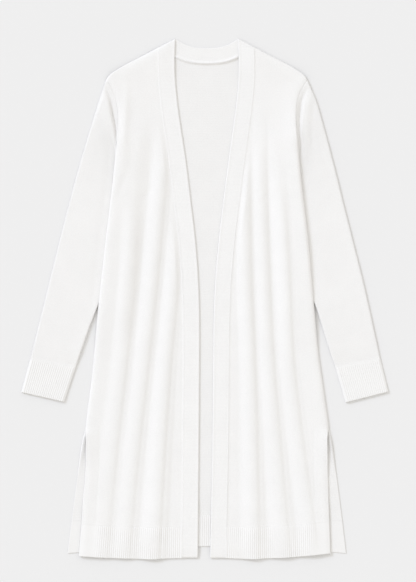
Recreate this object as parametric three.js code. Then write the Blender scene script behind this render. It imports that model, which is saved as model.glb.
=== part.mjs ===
// An open-front duster cardigan in fine knit, laid flat on its back with its sleeves at its sides.
//
// Sizes are in millimetres. +X is to the viewer's right, +Y is towards the neck and +Z is up, away from
// the surface that it lies on. Places on the cloth are given as a cutter gives them: "drop" is the
// distance down from the high point of the shoulder, and "half" is the distance out from the centre line.
// Left and right are the viewer's.
import * as THREE from "three";

// Driving sizes
const LENGTH = 1000; // high point of the shoulder to the front hem
const PANEL_WALL = 1.6; // fine plain knit
const BAND_WALL = 2.4; // the front and neck bands are knitted double
const SLEEVE_WALL = 1.5;
const SEAM_GAP = 0.3; // between two pieces that are sewn together
const LAYER_GAP = { gap: 0.6, inset: 15 }; // between two panels on each other, away from their seams
const BAND_WIDTH = 30.5;

// Ribbing
const RIB_HEIGHT = 62;
const RIB_PITCH = 4;
const RIB_RELIEF = 0.8;
const SLIT_BORDER = 27; // plain strip along each side slit, where the ribs stop

// Levels, as drops
const SHOULDER_TIP = { half: 194.5, drop: 80 };
const UNDERARM_DROP = 200;
const CHEST_DROP = 300;
const SIDE_RIB_DROP = 932; // top of the hem rib at the side
const BAND_TOP = { edge: 60.3, seam: 91.5 };

// Edge of the front band, from the centre line
const OPENING = [
  { drop: 0, left: 60.3, right: 60.3 },
  { drop: 40, left: 61.8, right: 61.2 },
  { drop: 79, left: 60.6, right: 60.8 },
  { drop: 117, left: 57.0, right: 57.6 },
  { drop: 156, left: 52.0, right: 52.7 },
  { drop: 233, left: 40.4, right: 42.0 },
  { drop: 310, left: 31.0, right: 32.0 },
  { drop: 387, left: 21.9, right: 23.2 },
  { drop: 464, left: 16.2, right: 16.6 },
  { drop: 541, left: 13.9, right: 13.2 },
  { drop: 656, left: 14.2, right: 12.0 },
  { drop: 810, left: 15.3, right: 10.4 },
  { drop: 1000, left: 17.1, right: 6.4 },
];

// Outer edge of each front: the armhole, then the side, then the front edge of the slit
const SIDE = [
  { drop: 80, left: 194.5, right: 194.5 },
  { drop: 86, left: 189.2, right: 189.6 },
  { drop: 95, left: 184.4, right: 184.2 },
  { drop: 110, left: 178.0, right: 177.5 },
  { drop: 128, left: 173.8, right: 173.3 },
  { drop: 148, left: 171.9, right: 171.8 },
  { drop: 185, left: 172.2, right: 173.4 },
  { drop: 214, left: 175.0, right: 176.4 },
  { drop: 271, left: 180.6, right: 181.8 },
  { drop: 387, left: 194.5, right: 195.3 },
  { drop: 502, left: 207.0, right: 205.0 },
  { drop: 656, left: 221.0, right: 221.3 },
  { drop: 760, left: 232.6, right: 231.4 },
  { drop: 850, left: 236.0, right: 232.6 },
  { drop: 926, left: 240.2, right: 234.9 },
  { drop: 1000, left: 246.2, right: 237.6 },
];

// Outer edge of the back below the top of the slit, where it spreads wider than the front
const SLIT_TOP = 757;
const BACK_SLIT = [
  { drop: 757, left: 232.3, right: 231.2 },
  { drop: 782, left: 239.0, right: 239.6 },
  { drop: 820, left: 245.2, right: 246.8 },
  { drop: 868, left: 251.5, right: 254.2 },
  { drop: 926, left: 259.5, right: 261.0 },
  { drop: 990, left: 267.8, right: 268.2 },
];

// Shoulder line, the same on both sides
const SHOULDER = [
  { half: 60.3, drop: 0 },
  { half: 92, drop: 16 },
  { half: 128, drop: 35 },
  { half: 150, drop: 46.5 },
  { half: 168, drop: 56.5 },
  { half: 181, drop: 65 },
  { half: 189, drop: 72 },
  { half: 194.5, drop: 80 },
];

// Seam and top edge of the band across the back of the neck
const NECKLINE = [
  { half: 0, drop: 46.2 },
  { half: 20, drop: 45.2 },
  { half: 40, drop: 41.8 },
  { half: 58, drop: 35.2 },
  { half: 76, drop: 25.6 },
  { half: 91.5, drop: 15.8 },
];
const NECK_TOP = [
  { half: 0, drop: 17.8 },
  { half: 14, drop: 17.3 },
  { half: 32, drop: 14.2 },
  { half: 44, drop: 9.6 },
  { half: 53, drop: 4.6 },
  { half: 60.3, drop: 0 },
];

// Hems, by distance from the centre line
const FRONT_HEM = [
  { half: 40, left: 996.5, right: 997 },
  { half: 88, left: 998.5, right: 999.5 },
  { half: 108, left: 1000, right: 998.5 },
  { half: 150, left: 998.5, right: 997 },
  { half: 195, left: 997, right: 993.5 },
  { half: 245, left: 994, right: 988 },
];
const BACK_HEM = { centre: 975, side: 988, half: 268, rib: 61 };

// Sleeves: the outer fold, and how far the inner edge is tucked in under the side of the body
const SLEEVE_OUTER = [
  { drop: 80, left: 194.5, right: 194.5 },
  { drop: 117, left: 207.2, right: 208.6 },
  { drop: 156, left: 219.0, right: 219.2 },
  { drop: 233, left: 242.2, right: 239.8 },
  { drop: 310, left: 263.3, right: 258.6 },
  { drop: 387, left: 282.4, right: 278.2 },
  { drop: 464, left: 301.4, right: 298.4 },
  { drop: 541, left: 320.1, right: 316.0 },
  { drop: 615, left: 338.4, right: 331.2 },
];
const SLEEVE_TUCK = [
  { drop: 200, left: -0.6, right: -0.6 },
  { drop: 220, left: 0, right: 0 },
  { drop: 244, left: 3, right: 3 },
  { drop: 275, left: 11, right: 11 },
  { drop: 315, left: 24, right: 24 },
  { drop: 360, left: 31, right: 31 },
  { drop: 400, left: 27, right: 27 },
  { drop: 440, left: 17, right: 16 },
  { drop: 502, left: 0, right: -1.5 },
  { drop: 541, left: -12, right: -11 },
  { drop: 632, left: -38.2, right: -32.5 },
];
// Corners of each cuff: the ends of its seam to the sleeve, then of its open end, as [half, drop]
const CUFF = {
  left: {
    seamOuter: [338.4, 615],
    seamInner: [256.6, 632],
    endOuter: [356.2, 679.5],
    endInner: [275.4, 698],
  },
  right: {
    seamOuter: [331.2, 615],
    seamInner: [251.3, 632],
    endOuter: [347.8, 678.5],
    endInner: [268.4, 699],
  },
};
const ARMHOLE_BOW = 0.14; // share of the sleeve's length over which the curve of the armhole dies out
const FOLD_SLANT = 4; // most by which a slanting line across a sleeve stretches the rim at its end
const CUFF_RIBS = 21;
const CUFF_RIM_SHARE = 0.035; // the ribs stop short of the folds of the flat cuff

// Soft folds of the fronts: where each starts, its crest at five levels, and its width and height at the
// hip and at the hem
const FOLD_LEVELS = [240, 430, 620, 810, 1000];
const FOLDS = [
  { side: "left", from: 130, crest: [95, 104, 123, 144, 161], width: [22, 24], height: [5.8, 3.6] },
  { side: "left", from: 300, crest: [57, 65, 81, 93.5, 103.5], width: [20, 28], height: [5.2, 6.2] },
  { side: "left", from: 260, crest: [146, 150, 167, 187, 203.5], width: [22, 24], height: [5, 2.5] },
  { side: "right", from: 175, crest: [71, 72, 80, 85.5, 88.5], width: [18.5, 25.5], height: [6, 5.3] },
  { side: "right", from: 110, crest: [103, 107, 116, 132, 148], width: [17.5, 26.5], height: [4.6, 4.6] },
  { side: "right", from: 215, crest: [136, 146, 154.5, 177, 203], width: [19.5, 23.5], height: [4.8, 3.4] },
];
const FOLD_SPREAD = { from: 430, full: 1000 }; // where its width and height change
const FOLD_FORM = 1.6; // its ridge is rounder and broader than the valley beside it
const FOLD_RAMP = 170; // length over which a fold rises to its full height
const FOLD_SEAM_FADE = 13; // the cloth lies flat where it is sewn to the band

// Soft rolls along the folded edges of the body, and how the body rides over the tucked sleeve
const SIDE_ROLL = { height: 4.2, near: 5, far: 34 };
const SHOULDER_ROLL = { height: 3.6, near: 7, far: 36 };
const SLEEVE_FLAT = 3.6; // both layers of a sleeve pressed together
const LIFT = { height: 4.2, from: 140, full: 206, hold: 522, until: 612, depth: 40, ramp: 36 };
const SLEEVE_PUFF = { height: 2.6, near: 26, clear: 3, start: 0.06 };
const NECK_RAISE = { height: BAND_WALL - PANEL_WALL, hold: 52, until: 84, half: 96, fade: 34 };
const RIB_RAISE = { from: 880, full: 906 };

// Rows of the grids, as drops at the side; the armhole rows are shared with the top of the sleeve
const ARMHOLE_STATIONS = [0, 0.05, 0.13, 0.25, 0.4, 0.58, 0.76, 0.9, 1];
const BODY_ROWS = [214, 232, 254, 280, 314, 355, 400, 445, 490, 530, 570, 612, 684, 757, 818, 880, 906, 932];
const SLEEVE_STATIONS = [0, 0.03, 0.06, 0.1, 0.13, 0.17, 0.23, 0.3, 0.38, 0.47, 0.57, 0.68, 0.8, 0.9, 1];
const FRONT_COLUMNS = 20;
const BAND_COLUMNS = 3;
// Columns from the side to the centre line, as shares of the shoulder's half width and of the neckline's
const SHOULDER_SHARES = [1, 0.9, 0.8, 0.69, 0.58];
const NECK_SHARES = [1, 0.86, 0.7, 0.53, 0.36, 0.18];

const COLOURS = { knit: 0xf6f5f3, band: 0xf8f7f5, rib: 0xf5f4f2 };

const smoothstep = (from, to, value) => THREE.MathUtils.smoothstep(value, from, to);
const lerp = THREE.MathUtils.lerp;

// Value of a column of a table at a key, along a smooth curve through its rows.
function along(table, key, column, value) {
  const last = table.length - 1;
  const x = Math.min(Math.max(value, table[0][key]), table[last][key]);
  let i = 0;
  while (i < last - 1 && x > table[i + 1][key]) i += 1;
  const slopeAt = (k) => {
    const a = table[Math.max(k - 1, 0)];
    const b = table[Math.min(k + 1, last)];
    return (b[column] - a[column]) / (b[key] - a[key]);
  };
  const span = table[i + 1][key] - table[i][key];
  const t = (x - table[i][key]) / span;
  const rise = table[i + 1][column] - table[i][column];
  const start = slopeAt(i) * span;
  const end = slopeAt(i + 1) * span;
  const square = 3 * rise - 2 * start - end;
  const cube = start + end - 2 * rise;
  return table[i][column] + start * t + square * t ** 2 + cube * t ** 3;
}

const bandEdge = (side, drop) => along(OPENING, "drop", side, drop);
const bandSeam = (side, drop) => bandEdge(side, drop) + BAND_WIDTH;
const frontSide = (side, drop) => along(SIDE, "drop", side, drop);
const backSide = (side, drop) => {
  return drop < SLIT_TOP ? frontSide(side, drop) : along(BACK_SLIT, "drop", side, drop);
};
const shoulderDrop = (half) => along(SHOULDER, "half", "drop", half);
const neckSeam = (half) => along(NECKLINE, "half", "drop", half);
const frontHem = (side, half) => along(FRONT_HEM, "half", side, half);
const backHem = (half) => lerp(BACK_HEM.centre, BACK_HEM.side, (half / BACK_HEM.half) ** 2);
const sleeveOuter = (side, drop) => along(SLEEVE_OUTER, "drop", side, drop);
const sleeveInner = (side, drop) => frontSide(side, drop) - along(SLEEVE_TUCK, "drop", side, drop);

// The left sleeve reaches a little further out, so the centre line is off the middle of the whole.
const CENTRE_X = (CUFF.left.endOuter[0] - CUFF.right.endOuter[0]) / 2;
const SIGN = { left: -1, right: 1 };

function place(side, half, drop, height) {
  return new THREE.Vector3(CENTRE_X + SIGN[side] * half, LENGTH / 2 - drop, height);
}

// Height of the underside of the back: it rides over each tucked sleeve and lies flat elsewhere.
function lift(side, half, drop) {
  const reach = smoothstep(LIFT.from, LIFT.full, drop) * (1 - smoothstep(LIFT.hold, LIFT.until, drop));
  const inset = frontSide(side, drop) - half;
  return LIFT.height * reach * (1 - smoothstep(LIFT.depth, LIFT.depth + LIFT.ramp, inset));
}

// Height of the upper side of the back, with the band of the neck and the hem rib, which stand up from it.
function backTop(side, half, drop) {
  const atNeck = 1 - smoothstep(NECK_RAISE.hold, NECK_RAISE.until, drop);
  const inNeck = 1 - smoothstep(NECK_RAISE.half, NECK_RAISE.half + NECK_RAISE.fade, half);
  const ribs = RIB_RELIEF * smoothstep(RIB_RAISE.from, RIB_RAISE.full, drop);
  return lift(side, half, drop) + PANEL_WALL + NECK_RAISE.height * atNeck * inNeck + ribs;
}

function roll(shape, distance) {
  const d = Math.max(distance, 0);
  return shape.height * (1 - Math.exp(-d / shape.near)) * Math.exp(-d / shape.far);
}

function crest(fold, drop) {
  const table = FOLD_LEVELS.map((level, i) => ({ drop: level, half: fold.crest[i] }));
  return along(table, "drop", "half", drop);
}

function foldHeight(side, half, drop) {
  const seamFade = smoothstep(0, FOLD_SEAM_FADE, half - bandSeam(side, drop));
  const spread = smoothstep(FOLD_SPREAD.from, FOLD_SPREAD.full, drop);
  const heights = FOLDS.filter((fold) => fold.side === side).map((fold) => {
    const away = Math.min(Math.abs(half - crest(fold, drop)) / lerp(...fold.width, spread), 1);
    const grown = smoothstep(fold.from, fold.from + FOLD_RAMP, drop);
    return lerp(...fold.height, spread) * grown * Math.cos((away * Math.PI) / 2) ** FOLD_FORM;
  });
  return seamFade * heights.reduce((sum, height) => sum + height, 0);
}

// Gap between a front and the back, at a distance from the nearest of their seams.
const layerGap = (inset) => lerp(SEAM_GAP, LAYER_GAP.gap, smoothstep(0, LAYER_GAP.inset, inset));

// Height of the underside of a front, which lies on the back.
function frontUnder(side, half, drop) {
  const sideInset = frontSide(side, drop) - half;
  const shoulderInset = drop - shoulderDrop(half);
  const edgeRoll = Math.max(roll(SIDE_ROLL, sideInset), roll(SHOULDER_ROLL, shoulderInset));
  const gap = layerGap(Math.min(sideInset, shoulderInset));
  return backTop(side, half, drop) + gap + foldHeight(side, half, drop) + edgeRoll;
}

// The front band lies on the back: it follows the roll of the shoulder and has no folds.
function bandUnder(side, half, drop) {
  const shoulderInset = drop - shoulderDrop(Math.max(half, BAND_TOP.edge));
  return backTop(side, half, drop) + layerGap(shoulderInset) + roll(SHOULDER_ROLL, shoulderInset);
}

// Drop of a grid point, from its row's drop at the side and the top and bottom of its column.
function rowDrop(row, top, bottom) {
  if (row <= CHEST_DROP) {
    return CHEST_DROP - ((CHEST_DROP - row) * (CHEST_DROP - top)) / (CHEST_DROP - SHOULDER_TIP.drop);
  }
  return CHEST_DROP + ((row - CHEST_DROP) * (bottom - CHEST_DROP)) / (SIDE_RIB_DROP - CHEST_DROP);
}

const ARMHOLE_ROWS = ARMHOLE_STATIONS.map((w) => lerp(SHOULDER_TIP.drop, UNDERARM_DROP, w));
const ROWS = [...ARMHOLE_ROWS, ...BODY_ROWS];

// A closed geometry from points and triangles, turned so that its faces point out.
function closedGeometry(points, triangles) {
  const corner = (i) => points[i];
  const volume = triangles.reduce((sum, [a, b, c]) => {
    return sum + corner(a).dot(new THREE.Vector3().crossVectors(corner(b), corner(c)));
  }, 0);
  const facing = volume > 0 ? triangles : triangles.map(([a, b, c]) => [a, c, b]);
  const geometry = new THREE.BufferGeometry().setFromPoints(points);
  geometry.setIndex(facing.flat());
  geometry.computeVertexNormals();
  return geometry;
}

// A wall of cloth between two grids of points of the same size.
function sheetGeometry(top, bottom) {
  const rows = top.length;
  const columns = top[0].length;
  const lower = rows * columns;
  const at = (r, c) => r * columns + c;
  const triangles = [];
  const quad = (a, b, c, d) => triangles.push([a, b, c], [a, c, d]);
  for (let r = 0; r < rows - 1; r += 1) {
    for (let c = 0; c < columns - 1; c += 1) {
      quad(at(r, c), at(r, c + 1), at(r + 1, c + 1), at(r + 1, c));
      quad(lower + at(r, c), lower + at(r + 1, c), lower + at(r + 1, c + 1), lower + at(r, c + 1));
    }
  }
  for (let c = 0; c < columns - 1; c += 1) {
    quad(at(0, c), lower + at(0, c), lower + at(0, c + 1), at(0, c + 1));
    quad(at(rows - 1, c), at(rows - 1, c + 1), lower + at(rows - 1, c + 1), lower + at(rows - 1, c));
  }
  const end = columns - 1;
  for (let r = 0; r < rows - 1; r += 1) {
    quad(at(r, 0), at(r + 1, 0), lower + at(r + 1, 0), lower + at(r, 0));
    quad(at(r, end), lower + at(r, end), lower + at(r + 1, end), at(r + 1, end));
  }
  return closedGeometry([...top.flat(), ...bottom.flat()], triangles);
}

// A tube of cloth, open at both ends, between rings of outer points and rings of inner points.
function tubeGeometry(outer, inner) {
  const rings = outer.length;
  const count = outer[0].length;
  const core = rings * count;
  const at = (r, c) => r * count + (c % count);
  const triangles = [];
  const quad = (a, b, c, d) => triangles.push([a, b, c], [a, c, d]);
  for (let c = 0; c < count; c += 1) {
    for (let r = 0; r < rings - 1; r += 1) {
      quad(at(r, c), at(r, c + 1), at(r + 1, c + 1), at(r + 1, c));
      quad(core + at(r, c), core + at(r + 1, c), core + at(r + 1, c + 1), core + at(r, c + 1));
    }
    quad(at(0, c), core + at(0, c), core + at(0, c + 1), at(0, c + 1));
    quad(at(rings - 1, c), at(rings - 1, c + 1), core + at(rings - 1, c + 1), core + at(rings - 1, c));
  }
  return closedGeometry([...outer.flat(), ...inner.flat()], triangles);
}

function clothMesh(name, geometry, colour) {
  const material = new THREE.MeshStandardMaterial({ color: colour, roughness: 0.95, metalness: 0 });
  const mesh = new THREE.Mesh(geometry, material);
  mesh.name = name;
  return mesh;
}

// A panel from a grid of plan points, the height of its underside and the thickness above it.
function panelGeometry(plan, under, wall) {
  const grid = (heightOf) => plan.map((row) => row.map((p) => place(p.side, p.half, p.drop, heightOf(p))));
  return sheetGeometry(grid((p) => under(p) + wall(p)), grid(under));
}

// Columns from the left edge to the right edge, through the centre line.
const mirrored = (shares) => {
  return [...shares.map((x) => ["left", x]), ["left", 0], ...shares.toReversed().map((x) => ["right", x])];
};

const fractions = (count) => Array.from({ length: count + 1 }, (_, i) => i / count);
const plainWall = () => PANEL_WALL;

// One front, from the shoulder to the top of the hem rib, and from the side to the band.
function frontPanel(side) {
  const plan = ROWS.map((row) => {
    return fractions(FRONT_COLUMNS).map((u) => {
      const top = shoulderDrop(lerp(SHOULDER_TIP.half, BAND_TOP.seam, u));
      const seamRow = rowDrop(row, shoulderDrop(BAND_TOP.seam), SIDE_RIB_DROP);
      const half = lerp(frontSide(side, row), bandSeam(side, seamRow) + SEAM_GAP / 2, u);
      return { side, half, drop: rowDrop(row, top, frontHem(side, half) - RIB_HEIGHT) };
    });
  });
  return panelGeometry(plan, (p) => frontUnder(p.side, p.half, p.drop), plainWall);
}

// The back, across its whole width, with the line of the neck cut into its top.
function backPanel() {
  const neckShare = BAND_TOP.seam / SHOULDER_TIP.half;
  const shares = [...SHOULDER_SHARES, ...NECK_SHARES.map((share) => share * neckShare)];
  const plan = ROWS.map((row) => {
    return mirrored(shares).map(([side, share]) => {
      const topHalf = share * SHOULDER_TIP.half;
      const top = share > neckShare ? shoulderDrop(topHalf) : neckSeam(topHalf) + SEAM_GAP;
      const half = share * backSide(side, row);
      return { side, half, drop: rowDrop(row, top, backHem(half) - BACK_HEM.rib) };
    });
  });
  return panelGeometry(plan, (p) => lift(p.side, p.half, p.drop), plainWall);
}

// Stations across a rib from one end to the other: crests and hollows by turns, and plain ends.
function ribStations(width, plainStart, plainEnd) {
  const count = Math.round((width - plainStart - plainEnd) / RIB_PITCH);
  const ribbed = fractions(2 * count).map((t, i) => {
    return { t: lerp(plainStart, width - plainEnd, t) / width, relief: i % 2 ? RIB_RELIEF : 0 };
  });
  const before = plainStart ? [{ t: 0, relief: 0 }, { t: plainStart / 2 / width, relief: 0 }] : [];
  const after = plainEnd ? [{ t: 1 - plainEnd / 2 / width, relief: 0 }, { t: 1, relief: 0 }] : [];
  return [...before, ...ribbed, ...after];
}

function frontRib(side) {
  const seam = bandSeam(side, LENGTH) + SEAM_GAP / 2;
  const stations = ribStations(frontSide(side, LENGTH) - seam, 0, SLIT_BORDER);
  const plan = [0, 0.5, 1].map((v) => {
    return stations.map(({ t, relief }) => {
      const level = lerp(SIDE_RIB_DROP, LENGTH, v);
      const half = lerp(bandSeam(side, level) + SEAM_GAP / 2, frontSide(side, level), t);
      const hem = frontHem(side, half);
      return { side, half, drop: lerp(hem - RIB_HEIGHT + SEAM_GAP, hem, v), relief };
    });
  });
  return panelGeometry(plan, (p) => frontUnder(p.side, p.half, p.drop), (p) => PANEL_WALL + p.relief);
}

function backRib() {
  const left = backSide("left", LENGTH);
  const right = backSide("right", LENGTH);
  const stations = ribStations(left + right, SLIT_BORDER, SLIT_BORDER);
  const plan = [0, 1].map((v) => {
    return stations.map(({ t, relief }) => {
      const level = lerp(SIDE_RIB_DROP, BACK_HEM.side, v);
      const x = lerp(-backSide("left", level), backSide("right", level), t);
      const side = x < 0 ? "left" : "right";
      const hem = backHem(Math.abs(x));
      return { side, half: Math.abs(x), drop: lerp(hem - BACK_HEM.rib + SEAM_GAP, hem, v), relief };
    });
  });
  return panelGeometry(plan, () => 0, (p) => PANEL_WALL + p.relief);
}

// One front band, from the shoulder to the hem.
function frontBand(side) {
  const seamRows = ROWS.map((row) => rowDrop(row, shoulderDrop(BAND_TOP.seam), SIDE_RIB_DROP));
  const hem = frontHem(side, 0);
  const plan = [...seamRows, (SIDE_RIB_DROP + hem) / 2, hem].map((row) => {
    return fractions(BAND_COLUMNS).map((u) => {
      const top = shoulderDrop(lerp(BAND_TOP.seam, BAND_TOP.edge, u));
      const start = shoulderDrop(BAND_TOP.seam);
      const raised = CHEST_DROP - ((CHEST_DROP - row) * (CHEST_DROP - top)) / (CHEST_DROP - start);
      const drop = row < CHEST_DROP ? raised : row;
      const half = lerp(bandSeam(side, drop) - SEAM_GAP / 2, bandEdge(side, drop), u);
      return { side, half, drop };
    });
  });
  return panelGeometry(plan, (p) => bandUnder(p.side, p.half, p.drop), () => BAND_WALL);
}

// The band across the back of the neck, from shoulder to shoulder.
function neckBand() {
  const plan = fractions(BAND_COLUMNS).map((v) => {
    return mirrored(NECK_SHARES).map(([side, share]) => {
      const topHalf = share * BAND_TOP.edge;
      const seamHalf = share * BAND_TOP.seam;
      const top = along(NECK_TOP, "half", "drop", topHalf);
      return { side, half: lerp(topHalf, seamHalf, v), drop: lerp(top, neckSeam(seamHalf), v) };
    });
  });
  return panelGeometry(plan, () => 0, () => BAND_WALL);
}

// The rim of a flat tube: how far in a point lies, and its share of half the tube's height, outside and
// inside
const RIM = [
  { inset: 0, rise: 0, coreInset: SLEEVE_WALL, coreRise: 0 },
  { inset: 0.55, rise: 0.72, coreInset: SLEEVE_WALL + 0.15, coreRise: 0.5 },
  { inset: 1.9, rise: 1, coreInset: 2.3, coreRise: 1 },
];

// Rings of a flat tube. Each line runs across the tube from its outer fold to its inner fold.
function flatTube(lines, shares, reliefOf) {
  const outer = [];
  const inner = [];
  for (const line of lines) {
    const stations = [
      ...RIM.map((rim) => ({ ...rim, near: true })),
      ...shares.map((share) => ({ share, rise: 1, coreRise: 1 })),
      ...RIM.toReversed().map((rim) => ({ ...rim, near: false })),
    ];
    const planAt = (station, inset) => {
      if (station.share !== undefined) return line.at(station.share);
      const along = (inset * line.slant[station.near ? 0 : 1]) / line.width;
      return line.at(station.near ? along : 1 - along);
    };
    const pointsOf = (isCore, isTop) => stations.map((station) => {
      const plan = planAt(station, isCore ? station.coreInset : station.inset);
      const base = line.base(plan);
      const middle = SLEEVE_FLAT / 2;
      const puff = station.share === undefined ? 0 : line.puff(plan);
      const relief = station.share === undefined ? 0 : reliefOf(station.share);
      const reach = isCore ? (middle - SLEEVE_WALL) * station.coreRise : middle * station.rise;
      const height = isTop ? middle + reach + puff + (isCore ? 0 : relief) : middle - reach;
      return place(line.side, plan[0], plan[1], base + height);
    });
    for (const [rings, isCore] of [[outer, false], [inner, true]]) {
      const under = pointsOf(isCore, false).slice(1, -1).reverse();
      rings.push([...pointsOf(isCore, true), ...under]);
    }
  }
  return tubeGeometry(outer, inner);
}

// How much longer a step along a line is than the same step taken square to an edge.
function slantOf(line, edge) {
  const across = Math.abs(line.x * edge.y - line.y * edge.x);
  return Math.min((line.length() * edge.length()) / across, FOLD_SLANT);
}

const planStep = (at, from, to) => new THREE.Vector2(...at(to)).sub(new THREE.Vector2(...at(from)));

// Lines across a sleeve, from its outer fold to its inner fold. The first is the armhole, and its curve
// dies out in the lines below it.
function sleeveLines(side) {
  const cuff = CUFF[side];
  const step = 0.01;
  const outer = (v) => {
    const drop = lerp(SHOULDER_TIP.drop, cuff.seamOuter[1], v);
    return [sleeveOuter(side, drop) + 2 * SEAM_GAP * (1 - v), drop];
  };
  const inner = (v) => {
    const drop = lerp(UNDERARM_DROP, cuff.seamInner[1], v);
    return [sleeveInner(side, drop), drop];
  };
  const armholeBow = (w) => {
    const hole = (share) => frontSide(side, lerp(SHOULDER_TIP.drop, UNDERARM_DROP, share));
    return hole(w) - lerp(hole(0), hole(1), w);
  };
  return SLEEVE_STATIONS.map((v) => {
    const bow = (1 - Math.min(v / ARMHOLE_BOW, 1)) ** 2;
    const at = (w) => {
      const [half, drop] = [0, 1].map((i) => lerp(outer(v)[i], inner(v)[i], w));
      return [half + bow * armholeBow(w), drop];
    };
    const width = planStep(at, 0, 1).length();
    const slant = [
      slantOf(planStep(at, 0, step), planStep(outer, v, v + step)),
      slantOf(planStep(at, 1 - step, 1), planStep(inner, v, v + step)),
    ];
    const fromArmhole = smoothstep(0, SLEEVE_PUFF.start, v);
    const puff = ([half, drop]) => {
      const fromBody = smoothstep(SLEEVE_PUFF.clear, SLEEVE_PUFF.near, half - frontSide(side, drop));
      const fromFold = smoothstep(0, SLEEVE_PUFF.near, sleeveOuter(side, drop) - half);
      return SLEEVE_PUFF.height * fromArmhole * fromBody * fromFold;
    };
    const held = 1 - Math.min(v / SLEEVE_PUFF.start, 1);
    const base = ([half, drop]) => lift(side, half, drop) * held;
    return { side, at, width, slant, puff, base };
  });
}

function sleeve(side) {
  return flatTube(sleeveLines(side), ARMHOLE_STATIONS.slice(1, -1), () => 0);
}

// The ribbed cuff, which carries on from the end of the sleeve.
function cuffTube(side) {
  const cuff = CUFF[side];
  const lead = new THREE.Vector2(cuff.endOuter[0] - cuff.seamOuter[0], cuff.endOuter[1] - cuff.seamOuter[1]);
  const gap = SEAM_GAP / lead.length();
  const shares = fractions(2 * CUFF_RIBS).map((t) => lerp(CUFF_RIM_SHARE, 1 - CUFF_RIM_SHARE, t));
  const lines = [gap, 1].map((v) => {
    const corner = (from, to) => [0, 1].map((i) => lerp(from[i], to[i], v));
    const start = corner(cuff.seamOuter, cuff.endOuter);
    const end = corner(cuff.seamInner, cuff.endInner);
    const at = (w) => [0, 1].map((i) => lerp(start[i], end[i], w));
    const width = Math.hypot(start[0] - end[0], start[1] - end[1]);
    const puff = () => 0;
    return { side, at, width, slant: [1, 1], puff, base: () => 0 };
  });
  const reliefOf = (share) => (shares.indexOf(share) % 2 ? RIB_RELIEF : 0);
  return flatTube(lines, shares, reliefOf);
}

const garment = new THREE.Group();
garment.add(clothMesh("back", backPanel(), COLOURS.knit));
garment.add(clothMesh("rib_back", backRib(), COLOURS.rib));
garment.add(clothMesh("band_neck", neckBand(), COLOURS.band));
for (const side of ["left", "right"]) {
  garment.add(clothMesh(`front_${side}`, frontPanel(side), COLOURS.knit));
  garment.add(clothMesh(`rib_front_${side}`, frontRib(side), COLOURS.rib));
  garment.add(clothMesh(`band_${side}`, frontBand(side), COLOURS.band));
  garment.add(clothMesh(`sleeve_${side}`, sleeve(side), COLOURS.knit));
  garment.add(clothMesh(`cuff_${side}`, cuffTube(side), COLOURS.rib));
}

export default garment;
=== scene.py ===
"""An open-front duster cardigan in fine off-white knit, laid flat on a pale surface.

The cloth is worked out in millimetres, as a cutter gives it: "drop" is the distance down from the high
point of the shoulder, and "half" is the distance out from the centre line. Left and right are the
viewer's. Pieces are then placed in metres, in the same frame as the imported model.
"""

import math

import bpy
import numpy as np
from bpy.props import FloatProperty, FloatVectorProperty, PointerProperty
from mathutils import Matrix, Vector


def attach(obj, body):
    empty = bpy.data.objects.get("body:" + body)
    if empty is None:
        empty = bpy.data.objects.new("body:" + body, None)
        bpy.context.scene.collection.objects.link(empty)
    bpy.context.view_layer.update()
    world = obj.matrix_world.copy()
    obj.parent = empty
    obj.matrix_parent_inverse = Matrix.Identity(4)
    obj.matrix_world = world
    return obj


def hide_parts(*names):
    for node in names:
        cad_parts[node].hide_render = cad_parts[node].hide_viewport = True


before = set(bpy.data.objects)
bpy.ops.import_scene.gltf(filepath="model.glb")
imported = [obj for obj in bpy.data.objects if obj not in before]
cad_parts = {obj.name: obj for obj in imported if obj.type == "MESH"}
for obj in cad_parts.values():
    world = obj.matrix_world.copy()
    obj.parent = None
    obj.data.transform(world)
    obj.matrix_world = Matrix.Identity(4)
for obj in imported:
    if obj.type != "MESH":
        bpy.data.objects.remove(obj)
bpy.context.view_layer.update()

bl_info = {
    "name": "Duster Cardigan",
    "version": (1, 0, 0),
    "blender": (4, 5, 0),
    "location": "3D View > Sidebar > Cardigan",
    "description": "Lays out a fine-knit duster cardigan, piece by piece",
    "category": "Object",
}

MM = 0.001


def table(columns, *rows):
    """A table with named columns."""
    values = np.array(rows, float)
    return {name: values[:, i] for i, name in enumerate(columns.split())}


# Levels and seams
LENGTH = 1000.0
LAYER_EDGE_GAP = 0.3
LAYER_GAP = 0.6
LAYER_INSET = 15.0
BAND_WIDTH = 30.5
TIP_HALF = 194.5
TIP_DROP = 80.0
UNDERARM_DROP = 200.0
CHEST_DROP = 300.0
SIDE_RIB_DROP = 932.0
NECK_EDGE = 60.3
NECK_SEAM = 91.5
RIB_HEIGHT = 62.0
SLIT_BORDER = 27.0
SLIT_TOP = 757.0
SLIT_START = (SLIT_TOP - 12, SLIT_TOP)
FOLD_END = (SLIT_TOP - 2, SLIT_TOP + 2)
ARMHOLE_END = (UNDERARM_DROP - 8, UNDERARM_DROP + 8)
CENTRE_X = 4.2

# Edge of the front band, from the centre line
OPENING = table(
    "drop left right",
    (0, 60.3, 60.3),
    (40, 61.8, 61.2),
    (79, 60.6, 60.8),
    (117, 57.0, 57.6),
    (156, 52.0, 52.7),
    (233, 40.4, 42.0),
    (310, 31.0, 32.0),
    (387, 21.9, 23.2),
    (464, 16.2, 16.6),
    (541, 13.9, 13.2),
    (656, 14.2, 12.0),
    (810, 15.3, 10.4),
    (1000, 17.1, 6.4),
)

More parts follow.
